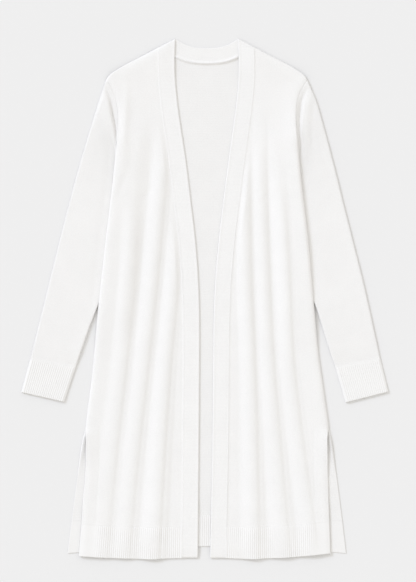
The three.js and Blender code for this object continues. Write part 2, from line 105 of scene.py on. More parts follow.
# Outer edge of each front: the armhole, then the side, then the front edge of the slit
SIDE = table(
    "drop left right",
    (80, 194.5, 194.5),
    (86, 189.2, 189.6),
    (95, 184.4, 184.2),
    (110, 178.0, 177.5),
    (128, 173.8, 173.3),
    (148, 171.9, 171.8),
    (185, 172.2, 173.4),
    (214, 175.0, 176.4),
    (271, 180.6, 181.8),
    (387, 194.5, 195.3),
    (502, 207.0, 205.0),
    (600, 216.2, 214.2),
    (656, 221.6, 221.9),
    (700, 227.2, 228.0),
    (727, 230.7, 231.9),
    (746, 232.6, 234.2),
    (757, 232.8, 233.4),
    (768, 232.3, 232.1),
    (782, 232.2, 232.0),
    (812, 232.6, 232.5),
    (850, 234.9, 233.2),
    (888, 238.4, 234.3),
    (926, 240.6, 235.5),
    (1000, 246.2, 238.0),
)

# Outer edge of the back, from where it leaves the front just above the slit
BACK_SLIT = table(
    "drop left right",
    (746, 232.6, 234.2),
    (757, 234.6, 236.1),
    (765, 236.5, 237.8),
    (771, 238.2, 239.2),
    (782, 240.3, 241.2),
    (800, 243.3, 243.8),
    (820, 246.1, 246.4),
    (868, 251.9, 252.8),
    (926, 259.6, 260.2),
    (990, 267.8, 268.2),
)
BACK_PARTS = 746.0

SHOULDER = table(
    "half drop",
    (60.3, 0),
    (92, 16),
    (128, 35),
    (150, 46.5),
    (168, 56.5),
    (181, 65),
    (189, 72),
    (194.5, 80),
)

# Seam and top edge of the band across the back of the neck
NECKLINE = table(
    "half drop",
    (0, 50.0),
    (20, 49.0),
    (40, 45.5),
    (58, 38.6),
    (76, 28.0),
    (91.5, 15.8),
)
NECK_TOP = table(
    "half drop",
    (0, 17.8),
    (14, 17.3),
    (32, 14.2),
    (44, 9.6),
    (53, 4.6),
    (60.3, 0),
)

# Hems
FRONT_HEM = table(
    "half left right",
    (40, 998.7, 999.2),
    (88, 1000, 1000.8),
    (108, 1001, 999.8),
    (150, 999.7, 998),
    (195, 998.2, 994.3),
    (245, 995, 988.8),
)
BACK_HEM_CENTRE = 976.5
BACK_HEM_SIDE = 990.0
BACK_HEM_HALF = 268.0
BACK_RIB_HEIGHT = 61.0

# Sleeves: the outer fold, and how far the inner edge is tucked in under the side of the body
SLEEVE_OUTER = table(
    "drop left right",
    (80, 194.5, 194.5),
    (117, 207.2, 210.4),
    (156, 219.0, 221.8),
    (233, 242.2, 242.5),
    (310, 263.3, 261.8),
    (387, 283.0, 281.2),
    (464, 302.2, 300.6),
    (541, 321.1, 318.0),
    (615, 339.5, 333.9),
)
SLEEVE_TUCK = table(
    "drop left right",
    (200, -0.6, -0.6),
    (220, 0, 0),
    (244, 3, 3),
    (275, 11, 11),
    (315, 24, 24),
    (360, 31, 31),
    (400, 27, 27),
    (440, 17, 16),
    (502, 3.0, 2.0),
    (516, -1.4, -3.0),
    (541, -8.8, -9.0),
    (578, -18.9, -17.0),
    (632, -32.7, -29.1),
)
# Corners of each cuff, as (half, drop): outer and inner end of its seam, then of its open end
CUFF = {
    "left": ((339.5, 615), (251.9, 632), (357.0, 679.5), (274.4, 698.5)),
    "right": ((333.9, 615), (247.5, 632), (349.6, 678.5), (267.0, 699.5)),
}

# Soft folds of the fronts: where each starts, its crest at five levels, its width and height at the hip
# and at the hem, and the depth at the five levels of the fine line along its shaded flank
FOLD_LEVELS = (240, 430, 620, 810, 1000)
FOLDS = {
    "left": (
        {
            "start": 130,
            "crest": (86, 101.5, 121, 142, 159.5),
            "width": (22, 24),
            "height": (5.8, 3.6),
            "line": (0.3, 0.8, 0.8, 0.8, 0.4),
        },
        {
            "start": 300,
            "crest": (55, 61.5, 78.5, 91.5, 102),
            "width": (20, 28),
            "height": (5.2, 6.2),
            "line": (0.0, 0.45, 0.9, 1.1, 0.8),
        },
        {
            "start": 260,
            "crest": (141, 145.5, 163, 184.5, 202),
            "width": (22, 24),
            "height": (5.0, 2.5),
            "line": (0.1, 0.3, 0.8, 0.7, 0.2),
        },
    ),
    "right": (
        {
            "start": 175,
            "crest": (72, 74.5, 82.5, 88, 91),
            "width": (18.5, 25.5),
            "height": (5.4, 5.3),
            "line": (0.3, 0.6, 1.0, 1.1, 0.5),
        },
        {
            "start": 110,
            "crest": (103.5, 109.5, 118.5, 134.5, 151),
            "width": (17.5, 26.5),
            "height": (4.6, 4.6),
            "line": (0.4, 0.8, 0.9, 1.0, 0.5),
        },
        {
            "start": 215,
            "crest": (136.5, 147.5, 157.5, 180, 206),
            "width": (19.5, 23.5),
            "height": (4.8, 3.4),
            "line": (0.1, 0.6, 1.1, 0.9, 0.4),
        },
    ),
}
FOLD_RAMP = 170.0
FOLD_SPREAD = (430, 1000)
FOLD_FORM = 1.6
FOLD_SEAM_FADE = 13.0
FOLD_LIT_SIDE = 1.12
FOLD_SHADED_SIDE = 1.0
FOLD_LINE = {"away": 13.0, "width": 3.0}
FOLD_HEM_FADE = (940, 1000)
FOLD_HEM_SHARE = 0.35

# Small creases: the middle, the length and width, the turn in degrees and the height, which is negative
# in a trough
CREASE_COLUMNS = "half drop length width turn height"
CREASES = {
    "left": table(
        CREASE_COLUMNS,
        (157, 160, 62, 8, 2, 2.2),
        (165, 286, 40, 7, 20, -0.8),
        (112, 296, 16, 6, 40, -0.9),
    ),
    "right": table(
        CREASE_COLUMNS,
        (118, 300, 18, 6, -40, -1.0),
        (126, 290, 20, 8, -40, 1.0),
    ),
}

# Soft rolls along the folded edges of the body: the height, and the runs over which it rises and dies out.
# They fade across the bands, and the edge itself turns down a little.
SIDE_ROLL = {"left": (4.2, 5.0, 34.0), "right": (3.6, 3.4, 34.0)}
SHOULDER_ROLL = (3.6, 7.0, 36.0)
BAND_FLAT = (-4, 28)
FOLD_TURN = 1.0

# How the back rides over each tucked sleeve, and where its neck band and its hem rib raise the fronts
LIFT_HEIGHT = 4.2
LIFT_RISE = (140, 206)
LIFT_FALL = (522, 612)
LIFT_DEPTH = (40, 76)
NECK_RAISE_DROP = (52, 84)
NECK_RAISE_HALF = (96, 130)
RIB_RAISE_DROP = (880, 906)

# How far a front falls past the hem of the back, and the run over which it does so
HEM_DROOP = 1.4
HEM_DROOP_RUN = 24.0

# Sleeves: the length along the outer fold, the width all round, the wall and the height when flat
SLEEVE_LENGTH = 555.0
SLEEVE_RING = 250.0
SLEEVE_WALL = 1.2
SLEEVE_FLAT = 3.6

# Sleeves: the fullness of the middle, as distances from the body and shares of the length
PUFF_CLEAR = 3.0
PUFF_NEAR = 26.0
PUFF_START = 0.06
PUFF_END = 0.93

# Sleeves: the roll along the folds, and how the upper side meets the body that lies on it
SLEEVE_ROLL = (2.0, 2.4, 11.0)
INNER_ROLL_RISE = (480, 520)
CLEAR_OF_BODY = (-1.0, 4.0)
SLEEVE_CONTACT = 0.5
CONTACT_FALL = (2, 14)

# Sleeves: the share of the length over which the curve of the armhole straightens, how the inner fold
# starts out of the underarm, and the most that a slanting line may widen the wall
ARMHOLE_BOW = 0.14
SEWN_IN = (215, 250)
FOLD_SLANT = 4.0

# Cuffs: the share of the sleeve's roll that they keep, how they open towards the end, the plain strip
# along each fold, and the rounding of the end on the upper and the lower side
CUFF_ROLL_SHARE = 0.2
CUFF_FLARE = 0.7
CUFF_FLARE_RUN = 30
CUFF_MARGIN = 3.0
CUFF_END_ROUND = 1.4
CUFF_END_DROP = 1.2
CUFF_END_RISE = 0.6

# Armholes: how far the seam stands up, between which drops, and how soon that dies out into the body and
# into the sleeve. The sleeve laps under the seam a little.
ARMHOLE_STAND = {"left": 1.2, "right": 4.6}
STAND_RISE = (92, 150)
STAND_FALL = (182, 222)
STAND_BODY = 15.0
STAND_SLEEVE = {"left": 2.2, "right": 6.0}
SHOULDER_SLEEVE = 9.0
SEAM_LAP = 0.5

# Fullness at the top of a sleeve: a narrow valley at some distance from the armhole, then a ridge. The
# ridge has a height, a run over which it rises, one over which it dies out and a stretch where it ends;
# the valley has a depth and a width.
CAP_RISE = (84, 132)
CAP_CLEAR = (0, 8)
CAP_FALL = {"left": (160, 224), "right": (168, 250)}
VALLEY_FALL = {"left": (182, 206), "right": (196, 236)}
CAP_VALLEY = table(
    "drop left right",
    (80, 12.0, 9.5),
    (106, 10.8, 9.0),
    (140, 9.4, 8.0),
    (166, 4.8, 6.2),
    (182, 2.4, 4.6),
    (210, 1.0, 2.5),
    (240, 0.0, 1.5),
)
CAP_RIDGE = {
    "left": {"height": 6.6, "rise": 2.6, "far": 26.0, "fall": (30, 60), "depth": 1.8, "width": 2.3},
    "right": {"height": 2.7, "rise": 6.0, "far": 90.0, "fall": (11, 27), "depth": 3.0, "width": 3.2},
}

# The fold at the side of the body, where it stands higher beside the sleeve
SIDE_STAND = {"left": (0.0, 2.0, 30.0), "right": (3.6, 2.0, 32.0)}
SIDE_STAND_RISE = (180, 262)
SIDE_STAND_FALL = (400, 520)

# Seams, as small ridges: height, distance from the seam and width
SEAM_RIDGE = (0.8, 0.0, 1.3)
HEM_RIDGE = (0.28, 0.6, 0.9)
ARMHOLE_RIDGE = (0.6, 2.2, 0.9)
ARMHOLE_GROOVE = (-0.5, 0.5, 0.7)
BAND_RIM = (0.5, 2.0, 1.3)
NECK_RIDGE = (3.1, 3.0, 1.8)
SLIT_RIM = {"left": (0.7, 1.2, 1.0), "right": (0.9, 0.7, 1.2)}

# Side slits: the border turned in along each edge and its line of stitches
FACING_HEIGHT = 0.3
FACING_EDGE = (SLIT_BORDER - 3, SLIT_BORDER - 1)
FACING_STITCH = (-0.3, SLIT_BORDER - 1, 1.1)

# Side slits: how the edges of the back and the front stand up below the top of the slit
SLIT_CURL = {"left": (3.6, 1.7, 1.2), "right": (3.4, 1.6, 1.2)}
SLIT_OPEN_DROP = {"left": (772, 850), "right": (770, 850)}
SLIT_GAPE = {"left": (3.6, 10.0), "right": (3.6, 10.0)}
SLIT_CURL_RISE = (SLIT_TOP - 4, SLIT_TOP + 8)
SLIT_GAPE_RISE = (SLIT_TOP - 10, SLIT_TOP + 8)

# Ribs: how square they are, the points across each, and how they start below a seam and die out
RIB_SQUARE = 2.4
RIB_POINTS = 8
RIB_START = (0.6, 2.0)
RIB_FADE = 20.0

# Rounding of edges: the radius on a fold of two layers and how high up its middle is, then the radius on
# a free edge of one layer, on the edges of a front band and on those of the neck band
FOLD_ROUND = 2.2
FOLD_MIDDLE = 0.3
EDGE_ROUND = 0.9
BAND_ROUND = 1.5
BAND_END_ROUND = 1.2
BAND_SEAM_RUN = 1.5
NECK_TOP_ROUND = 1.3
NECK_SEAM_ROUND = 0.8
NECK_END_ROUND = 1.0
NECK_RIDGE_END = (NECK_EDGE - 3, NECK_EDGE + 1)
SHOULDER_ANCHOR = (1.5, 4.0)
SEAM_DENT = (0.08, 0.35)
THINNEST = 0.14

# Spacing of the points of each mesh, and the points close to an edge
NEAR_EDGE = np.array([0.0, 0.12, 0.4, 0.85, 1.5, 2.4])
AT_EDGE = np.array([0.0])
ROW_STEP = 3.2
FRONT_STEP = 2.4
BACK_STEP = 4.5
BAND_STEP = 2.2
NECK_STEP = 2.0
NECK_POINTS = 60
RIB_ROW_STEP = 4.0
BACK_RIB_ROW_STEP = 5.0
PLAIN_STEP = 3.5
PLAIN_START = 5.0
SLEEVE_STEP = 2.0
SLEEVE_SPACING_WIDTH = 110.0
CUFF_ROW_STEP = 3.0
SLOPE_STEP = 0.01

# Look of the knit, with lengths in metres
GRAIN_DEPTH = 0.0022
FUZZ_DEPTH = 0.00012
RIB_TONE = 0.98
# Share of the colour taken by the random clouds of tone and by the painted shade in the gaps of the
# stitches
TONE_AND_GAP_SHADE_SHARE = 0.05
STITCH_SLANT = 0.6
BAND_WALE = 0.0018
BAND_COURSE = 0.0013

# Surface, light and camera, with lengths in metres apart from the camera's sensor
SQUARE = ((-1, -1), (1, -1), (1, 1), (-1, 1))
SURFACE_REACH = 4.0
SURFACE_DEPTH = 0.0002
KEY_DIRECTION = (1.13, -0.95, -1.0)
KEY_SOFTNESS = 0.30
KEY_TINT = (0.7605, 0.8403, 1.0)
FILL_TINT = (1.0, 0.9852, 0.9507)
VIEW_HEIGHT = 1.12035
VIEW_CENTRE = (0.006545, 0.01492)
SENSOR_HEIGHT = 24.0
VIEW_REACH = 100.0

SIGN = {"left": -1.0, "right": 1.0}
SIDES = ("left", "right")


class CardiganSettings(bpy.types.PropertyGroup):
    """Sizes, colours and light that a user may change."""

    knit_colour: FloatVectorProperty(
        name="Knit colour",
        description="Colour of the fine plain knit",
        subtype="COLOR",
        default=(0.871, 0.861, 0.852),
        min=0.0,
        max=1.0,
    )
    # Painted shade: the inside colour is the back of the knit set a little darker than the knit colour,
    # standing in for the shade inside the opening and the slits
    purl_colour_painted_shade: FloatVectorProperty(
        name="Inside colour",
        description="Colour of the back of the knit, seen inside the opening and the slits",
        subtype="COLOR",
        default=(0.836, 0.826, 0.817),
        min=0.0,
        max=1.0,
    )
    band_colour: FloatVectorProperty(
        name="Band colour",
        description="Colour of the double-knit band",
        subtype="COLOR",
        default=(0.866, 0.857, 0.849),
        min=0.0,
        max=1.0,
    )
    floor_colour: FloatVectorProperty(
        name="Surface colour",
        description="Colour of the surface that the cardigan lies on",
        subtype="COLOR",
        default=(0.787, 0.782, 0.780),
        min=0.0,
        max=1.0,
    )
    panel_wall: FloatProperty(
        name="Knit thickness",
        description="Thickness of the plain knit",
        default=0.0016,
        min=0.001,
        max=0.003,
        unit="LENGTH",
        precision=4,
    )
    band_wall: FloatProperty(
        name="Band thickness",
        description="Thickness of the double-knit band",
        default=0.0024,
        min=0.0015,
        max=0.004,
        unit="LENGTH",
        precision=4,
    )
    rib_pitch: FloatProperty(
        name="Rib pitch",
        description="Width of one rib of the hems and cuffs",
        default=0.004,
        min=0.002,
        max=0.01,
        unit="LENGTH",
        precision=4,
    )
    rib_relief: FloatProperty(
        name="Rib relief",
        description="Height of a rib above the hollow beside it",
        default=0.0008,
        min=0.0,
        max=0.002,
        unit="LENGTH",
        precision=4,
    )
    puff: FloatProperty(
        name="Sleeve fullness",
        description="Height by which the middle of a sleeve stands above its flat edges",
        default=0.0008,
        min=0.0,
        max=0.01,
        unit="LENGTH",
        precision=4,
    )
    wale: FloatProperty(
        name="Stitch width",
        description="Width of one stitch of the plain knit",
        default=0.0021,
        min=0.001,
        max=0.01,
        unit="LENGTH",
        precision=4,
    )
    course: FloatProperty(
        name="Stitch height",
        description="Height of one row of stitches",
        default=0.0016,
        min=0.001,
        max=0.01,
        unit="LENGTH",
        precision=4,
    )
    sun: FloatProperty(
        name="Key light",
        description="Strength of the soft light from the upper left",
        default=1.261,
        min=0.0,
        max=10.0,
    )
    sky: FloatProperty(
        name="Fill light",
        description="Strength of the even light all round",
        default=0.9287,
        min=0.0,
        max=10.0,
    )
    camera_height: FloatProperty(
        name="Camera height",
        description="Height of the camera above the surface",
        default=4.0,
        min=1.0,
        max=20.0,
        unit="LENGTH",
    )


# Curves and surfaces


def along(rows, key, column, value):
    """Value of a column of a table at a key, along a smooth curve through its rows."""
    k = rows[key]
    c = rows[column]
    slope = np.empty_like(c)
    slope[1:-1] = (c[2:] - c[:-2]) / (k[2:] - k[:-2])
    slope[0] = (c[1] - c[0]) / (k[1] - k[0])
    slope[-1] = (c[-1] - c[-2]) / (k[-1] - k[-2])
    x = np.clip(value, k[0], k[-1])
    i = np.clip(np.searchsorted(k, x, side="right") - 1, 0, len(k) - 2)
    span = k[i + 1] - k[i]
    t = (x - k[i]) / span
    rise = c[i + 1] - c[i]
    start = slope[i] * span
    end = slope[i + 1] * span
    return c[i] + start * t + (3 * rise - 2 * start - end) * t**2 + (start + end - 2 * rise) * t**3


def smoothstep(low, high, value):
    """Soft rise from 0 at the low value to 1 at the high one."""
    t = np.clip((value - low) / (high - low), 0.0, 1.0)
    return t * t * (3 - 2 * t)


def lerp(a, b, t):
    """Value at a share of the way from a to b."""
    return a + (b - a) * t


def band_edge(side, drop):
    """Half at the front edge of a band."""
    return along(OPENING, "drop", side, drop)


def band_seam(side, drop):
    """Half at the seam of a band and its front."""
    return band_edge(side, drop) + BAND_WIDTH


def front_side(side, drop):
    """Half at the outer edge of a front."""
    return along(SIDE, "drop", side, drop)


def back_side(side, drop):
    """Half at the outer edge of the back, which shows past the front in the slit."""
    slit = along(BACK_SLIT, "drop", side, drop)
    return np.where(drop < BACK_PARTS, front_side(side, drop), slit)


def shoulder_drop(half):
    """Drop of the fold at the shoulder."""
    return along(SHOULDER, "half", "drop", half)


def neck_seam(half):
    """Drop of the seam of the neck band and the back."""
    return along(NECKLINE, "half", "drop", half)


def front_hem(side, half):
    """Drop of the lower end of a front."""
    return along(FRONT_HEM, "half", side, half)


def back_hem(half):
    """Drop of the lower end of the back, which hangs lower at the sides."""
    return lerp(BACK_HEM_CENTRE, BACK_HEM_SIDE, (half / BACK_HEM_HALF) ** 2)


def sleeve_outer(side, drop):
    """Half at the outer fold of a sleeve."""
    return along(SLEEVE_OUTER, "drop", side, drop)


def sleeve_inner(side, drop):
    """Half at the inner fold of a sleeve, part of which is tucked in under the body."""
    return front_side(side, drop) - along(SLEEVE_TUCK, "drop", side, drop)


def lift(side, half, drop):
    """Height of the underside of the back, which rides over each tucked sleeve."""
    over_sleeve = smoothstep(*LIFT_RISE, drop) * (1 - smoothstep(*LIFT_FALL, drop))
    inset = front_side(side, drop) - half
    return LIFT_HEIGHT * over_sleeve * (1 - smoothstep(*LIFT_DEPTH, inset))


def back_top(side, half, drop, wall, settings):
    """Height of the upper side of the back, its neck band and its hem rib."""
    raised = (settings.band_wall - settings.panel_wall) / MM
    at_neck = 1 - smoothstep(*NECK_RAISE_DROP, drop)
    in_neck = 1 - smoothstep(*NECK_RAISE_HALF, half)
    ribs = settings.rib_relief / MM * smoothstep(*RIB_RAISE_DROP, drop)
    return lift(side, half, drop) + wall + raised * at_neck * in_neck + ribs


def roll(shape, distance):
    """Height of a soft roll: a quick rise from an edge and a slow fall away from it."""
    height, near, far = shape
    d = np.maximum(distance, 0)
    return height * (1 - np.exp(-d / near)) * np.exp(-d / far)


def fold_height(side, half, drop):
    """Height of the soft folds that fan out from the chest to the hem."""
    total = np.zeros(np.broadcast(half, drop).shape)
    spread = smoothstep(*FOLD_SPREAD, drop)
    at_hem = 1 - FOLD_HEM_SHARE * smoothstep(*FOLD_HEM_FADE, drop)
    for fold in FOLDS[side]:
        rows = table("drop half line", *zip(FOLD_LEVELS, fold["crest"], fold["line"]))
        from_crest = SIGN[side] * (half - along(rows, "drop", "half", drop))
        flank = np.where(from_crest > 0, FOLD_SHADED_SIDE, FOLD_LIT_SIDE)
        reached = lerp(*fold["width"], spread) * flank
        away = np.clip(np.abs(from_crest) / reached, 0, 1)
        grown = smoothstep(fold["start"], fold["start"] + FOLD_RAMP, drop)
        form = np.cos(away * math.pi / 2) ** FOLD_FORM
        total += lerp(*fold["height"], spread) * grown * at_hem * form
        from_line = (from_crest - FOLD_LINE["away"]) / FOLD_LINE["width"]
        total -= along(rows, "drop", "line", drop) * grown * np.exp(-(from_line**2))
    return total * smoothstep(0, FOLD_SEAM_FADE, half - band_seam(side, drop))


def crease_height(side, half, drop):
    """Height of the small creases."""
    total = np.zeros(np.broadcast(half, drop).shape)
    rows = CREASES[side]
    for middle_half, middle_drop, length, width, turn, height in zip(*rows.values()):
        c = math.cos(math.radians(turn))
        s = math.sin(math.radians(turn))
        down = (drop - middle_drop) * c + (half - middle_half) * s
        across = (half - middle_half) * c - (drop - middle_drop) * s
        total += height * np.exp(-((down / length) ** 2) - (across / width) ** 2)
    return total


def layer_gap(inset):
    """Gap between two layers at a distance from the edge that they share."""
    return lerp(LAYER_EDGE_GAP, LAYER_GAP, smoothstep(0, LAYER_INSET, inset))


def ridge(shape, distance):
    """Height of a small ridge beside a seam or an edge."""
    height, away, width = shape
    return height * np.exp(-(((distance - away) / width) ** 2))


def slit_gape(side, half, drop):
    """Height by which the edge of a front stands off the back near the top of the slit."""
    height, near = SLIT_GAPE[side]
    shown = smoothstep(*SLIT_GAPE_RISE, drop) * (1 - smoothstep(*SLIT_OPEN_DROP[side], drop))
    return height * shown * np.exp(-np.maximum(front_side(side, drop) - half, 0) / near)


def slit_curl(side, half, drop):
    """Height by which the edge of the back curls up near the top of the slit."""
    shown = smoothstep(*SLIT_CURL_RISE, drop) * (1 - smoothstep(*SLIT_OPEN_DROP[side], drop))
    return ridge(SLIT_CURL[side], back_side(side, drop) - half) * shown


def facing_height(distance):
    """Height added by the border that is turned in along the edge of a slit."""
    return FACING_HEIGHT * (1 - smoothstep(*FACING_EDGE, distance))


def armhole_stand(side, drop):
    """Height by which the seam of an armhole stands up."""
    return ARMHOLE_STAND[side] * smoothstep(*STAND_RISE, drop) * (1 - smoothstep(*STAND_FALL, drop))


def hem_droop(half, drop):
    """How far a front falls where it hangs past the hem of the back."""
    past = back_hem(half)
    return HEM_DROOP * smoothstep(past, past + HEM_DROOP_RUN, drop)


def front_under(side, half, drop, settings):
    """Height of the underside of a front, which lies on the back."""
    wall = settings.panel_wall / MM
    side_inset = front_side(side, drop) - half
    shoulder_inset = drop - shoulder_drop(half)
    edge_roll = np.maximum(roll(SIDE_ROLL[side], side_inset), roll(SHOULDER_ROLL, shoulder_inset))
    gap = layer_gap(np.minimum(side_inset, shoulder_inset))
    folds = np.maximum(fold_height(side, half, drop) + crease_height(side, half, drop), -edge_roll)
    stand = armhole_stand(side, drop) * np.exp(-np.maximum(side_inset, 0) / STAND_BODY)
    beside = smoothstep(*SIDE_STAND_RISE, drop) * (1 - smoothstep(*SIDE_STAND_FALL, drop))
    stand = stand + roll(SIDE_STAND[side], side_inset) * beside
    raised = folds + edge_roll + stand + slit_gape(side, half, drop) - hem_droop(half, drop)
    return back_top(side, half, drop, wall, settings) + gap + raised


def band_under(side, half, drop, settings):
    """Height of the underside of a front band, which lies on the back and has no folds."""
    inset = drop - shoulder_drop(np.maximum(half, NECK_EDGE))
    below = back_top(side, half, drop, settings.panel_wall / MM, settings)
    raised = roll(SHOULDER_ROLL, inset) * smoothstep(*BAND_FLAT, half - band_edge(side, drop))
    return below + layer_gap(inset) + raised - hem_droop(half, drop)


def row_drop(row, top, bottom):
    """Drop of a grid point, from its row's drop at the side and the top and bottom of its column."""
    upper = CHEST_DROP - (CHEST_DROP - row) * (CHEST_DROP - top) / (CHEST_DROP - TIP_DROP)
    lower = CHEST_DROP + (row - CHEST_DROP) * (bottom - CHEST_DROP) / (SIDE_RIB_DROP - CHEST_DROP)
    return np.where(row <= CHEST_DROP, upper, lower)


def dome(distance, radius):
    """Share of the full thickness at a distance from a rounded edge."""
    t = np.clip(distance / radius, 0.0, 1.0)
    return np.sqrt(np.maximum(1 - (1 - t) ** 2, THINNEST**2))


def sewn(distance):
    """Share of the full thickness at a distance from a sewn edge, which is slightly dented."""
    depth, width = SEAM_DENT
    return 1 - depth * np.exp(-((distance / width) ** 2))


def spaced(width, step, near=NEAR_EDGE, far=NEAR_EDGE):
    """Stations across each of some widths, in a row for each, close together at both edges."""
    width = np.asarray(width, float).reshape(-1, 1)
    count = max(int(round((width.max() - near[-1] - far[-1]) / step)), 1)
    share = np.linspace(0, 1, count + 1)[1:-1]
    middle = lerp(near[-1], width - far[-1], share)
    ends = np.ones_like(width)
    return np.hstack([near * ends, middle, width - far[::-1] * ends])


def reach(x, y, axis, reverse=False):
    """Distance of each grid point from the first or last line of the grid."""
    step = np.hypot(np.diff(x, axis=axis), np.diff(y, axis=axis))
    if reverse:
        step = np.flip(step, axis)
    start = np.zeros_like(np.take(x, [0], axis))
    total = np.concatenate([start, np.cumsum(step, axis)], axis)
    return np.flip(total, axis) if reverse else total


# Meshes


def make_piece(name, points, faces, uv, material):
    """A piece of cloth from points in metres, quads and one flat-pattern coordinate for each point."""
    old = bpy.data.objects.get(name)
    if old:
        bpy.data.objects.remove(old)
    a, b, c = (points[faces[:, i]] for i in (0, 1, 2))
    d = points[faces[:, 3]]
    volume = sum(np.einsum("ij,ij->i", a, np.cross(*two)).sum() for two in ((b, c), (c, d)))
    if volume < 0:
        faces = faces[:, ::-1]
    mesh = bpy.data.meshes.new(name)
    mesh.vertices.add(len(points))
    mesh.vertices.foreach_set("co", points.ravel())
    mesh.loops.add(faces.size)
    mesh.loops.foreach_set("vertex_index", faces.ravel().astype(np.int32))
    mesh.polygons.add(len(faces))
    mesh.polygons.foreach_set("loop_start", np.arange(0, faces.size, 4, dtype=np.int32))
    mesh.polygons.foreach_set("use_smooth", np.ones(len(faces), bool))
    layer = mesh.uv_layers.new(name="Pattern")
    layer.data.foreach_set("uv", uv[faces.ravel()].astype(np.float32).ravel())
    mesh.update(calc_edges=True)
    mesh.validate()
    mesh.materials.append(material)
    piece = bpy.data.objects.new(name, mesh)
    bpy.context.scene.collection.objects.link(piece)
    return piece


def world_points(signed_half, drop, height):
    """Points in metres, where a negative half lies to the left of the centre line."""
    return np.stack([CENTRE_X + signed_half, LENGTH / 2 - drop, height], -1) * MM


def grid_quads(rows, columns, start=0, closed=False):
    """Quads of a grid of points, which may close on itself from the last column to the first."""
    steps = columns if closed else columns - 1
    line, here = np.meshgrid(np.arange(rows - 1), np.arange(steps), indexing="ij")
    nxt = (here + 1) % columns
    first = line * columns
    second = first + columns
    quads = np.stack([first + here, first + nxt, second + nxt, second + here], -1)
    return quads.reshape(-1, 4) + start


def sheet_piece(name, signed_half, drop, under, over, uv, material):
    """A wall of cloth between two grids of heights over one plan, closed all round its edge."""
    rows, columns = drop.shape
    top = world_points(signed_half, drop, over).reshape(-1, 3)
    low = world_points(signed_half, drop, under).reshape(-1, 3)
    count = rows * columns
    index = np.arange(count).reshape(rows, columns)
    border = np.concatenate([index[0, :-1], index[:-1, -1], index[-1, :0:-1], index[:0:-1, 0]])
    nxt = np.roll(border, -1)
    walls = np.stack([nxt, border, border + count, nxt + count], -1)
    upper = grid_quads(rows, columns)
    lower = grid_quads(rows, columns, count)[:, ::-1]
    faces = np.concatenate([upper, lower, walls])
    pattern = np.concatenate([uv.reshape(-1, 2)] * 2)
    return make_piece(name, np.concatenate([top, low]), faces, pattern, material)


def tube_piece(name, outer, inner, uv, material):
    """A tube of cloth open at both ends, from rings of outer and inner points."""
    rows, columns = outer.shape[:2]
    count = rows * columns
    ring = np.arange(columns)
    nxt = np.roll(ring, -1)
    last = (rows - 1) * columns
    first_rim = np.stack([nxt, ring, ring + count, nxt + count], -1)
    last_rim = np.stack([ring + last, nxt + last, nxt + last + count, ring + last + count], -1)
    outside = grid_quads(rows, columns, closed=True)
    inside = grid_quads(rows, columns, count, closed=True)[:, ::-1]
    points = np.concatenate([outer.reshape(-1, 3), inner.reshape(-1, 3)]) * MM
    pattern = np.concatenate([uv.reshape(-1, 2)] * 2)
    faces = np.concatenate([outside, inside, first_rim, last_rim])
    return make_piece(name, points, faces, pattern, material)


def rounded(under, over, share, anchor):
    """Heights of both sides where the wall thins to a share of itself about a level between them."""
    middle = lerp(under, over, anchor)
    return lerp(middle, under, share), lerp(middle, over, share)


def lay(piece, node):
    """The piece rides on the body and stands for its node, which it hides."""
    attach(piece, "root")
    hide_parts(node)


# Pieces


def panel_rows(step):
    """Levels of the rows of a body panel, as drops at the side."""
    return TIP_DROP + spaced(SIDE_RIB_DROP - TIP_DROP, step)[0]


def build_front(side, settings):
    """A front, from the shoulder to its hem rib and from the side or armhole to its band."""
    wall = settings.panel_wall / MM
    row = panel_rows(ROW_STEP)[:, None]
    seam_row = row_drop(row, shoulder_drop(NECK_SEAM), SIDE_RIB_DROP)
    outer = front_side(side, row)
    inner = band_seam(side, seam_row)
    u = spaced(outer - inner, FRONT_STEP) / (outer - inner)
    half = lerp(outer, inner, u)
    top = shoulder_drop(lerp(TIP_HALF, NECK_SEAM, u))
    drop = row_drop(row, top, front_hem(side, half) - RIB_HEIGHT)
    at_side = reach(half, drop, 1)
    at_band = reach(half, drop, 1, True)
    at_shoulder = reach(half, drop, 0)
    at_hem = reach(half, drop, 0, True)
    in_slit = smoothstep(*SLIT_START, drop)
    at_armhole = 1 - smoothstep(*ARMHOLE_END, drop)
    under = front_under(side, half, drop, settings)
    border = facing_height(at_side) + ridge(FACING_STITCH, at_side) + ridge(SLIT_RIM[side], at_side)
    stitched = ridge(ARMHOLE_RIDGE, at_side) + ridge(ARMHOLE_GROOVE, at_side)
    seams = ridge(SEAM_RIDGE, at_band) + ridge(HEM_RIDGE, at_hem)
    over = under + wall + border * in_slit + stitched * at_armhole + seams
    on_fold = 1 - smoothstep(*FOLD_END, drop)
    side_share = lerp(dome(at_side, EDGE_ROUND), dome(at_side, FOLD_ROUND), on_fold)
    side_share = lerp(side_share, sewn(at_side), at_armhole)
    share = side_share * dome(at_shoulder, FOLD_ROUND) * sewn(at_band) * sewn(at_hem)
    anchor = lerp(0.5, 0.0, on_fold * (1 - at_armhole * (at_side < at_shoulder)))
    side_fold = lerp(1.0, dome(at_side, FOLD_ROUND), on_fold * (1 - at_armhole))
    turn = FOLD_TURN * (1 - side_fold * dome(at_shoulder, FOLD_ROUND))
    under, over = rounded(under - turn, over - turn, share, anchor)
    uv = np.stack([half, drop], -1) * MM
    name = f"knit_front_{side}"
    piece = sheet_piece(name, SIGN[side] * half, drop, under, over, uv, knit_material(settings))
    lay(piece, f"front_{side}")


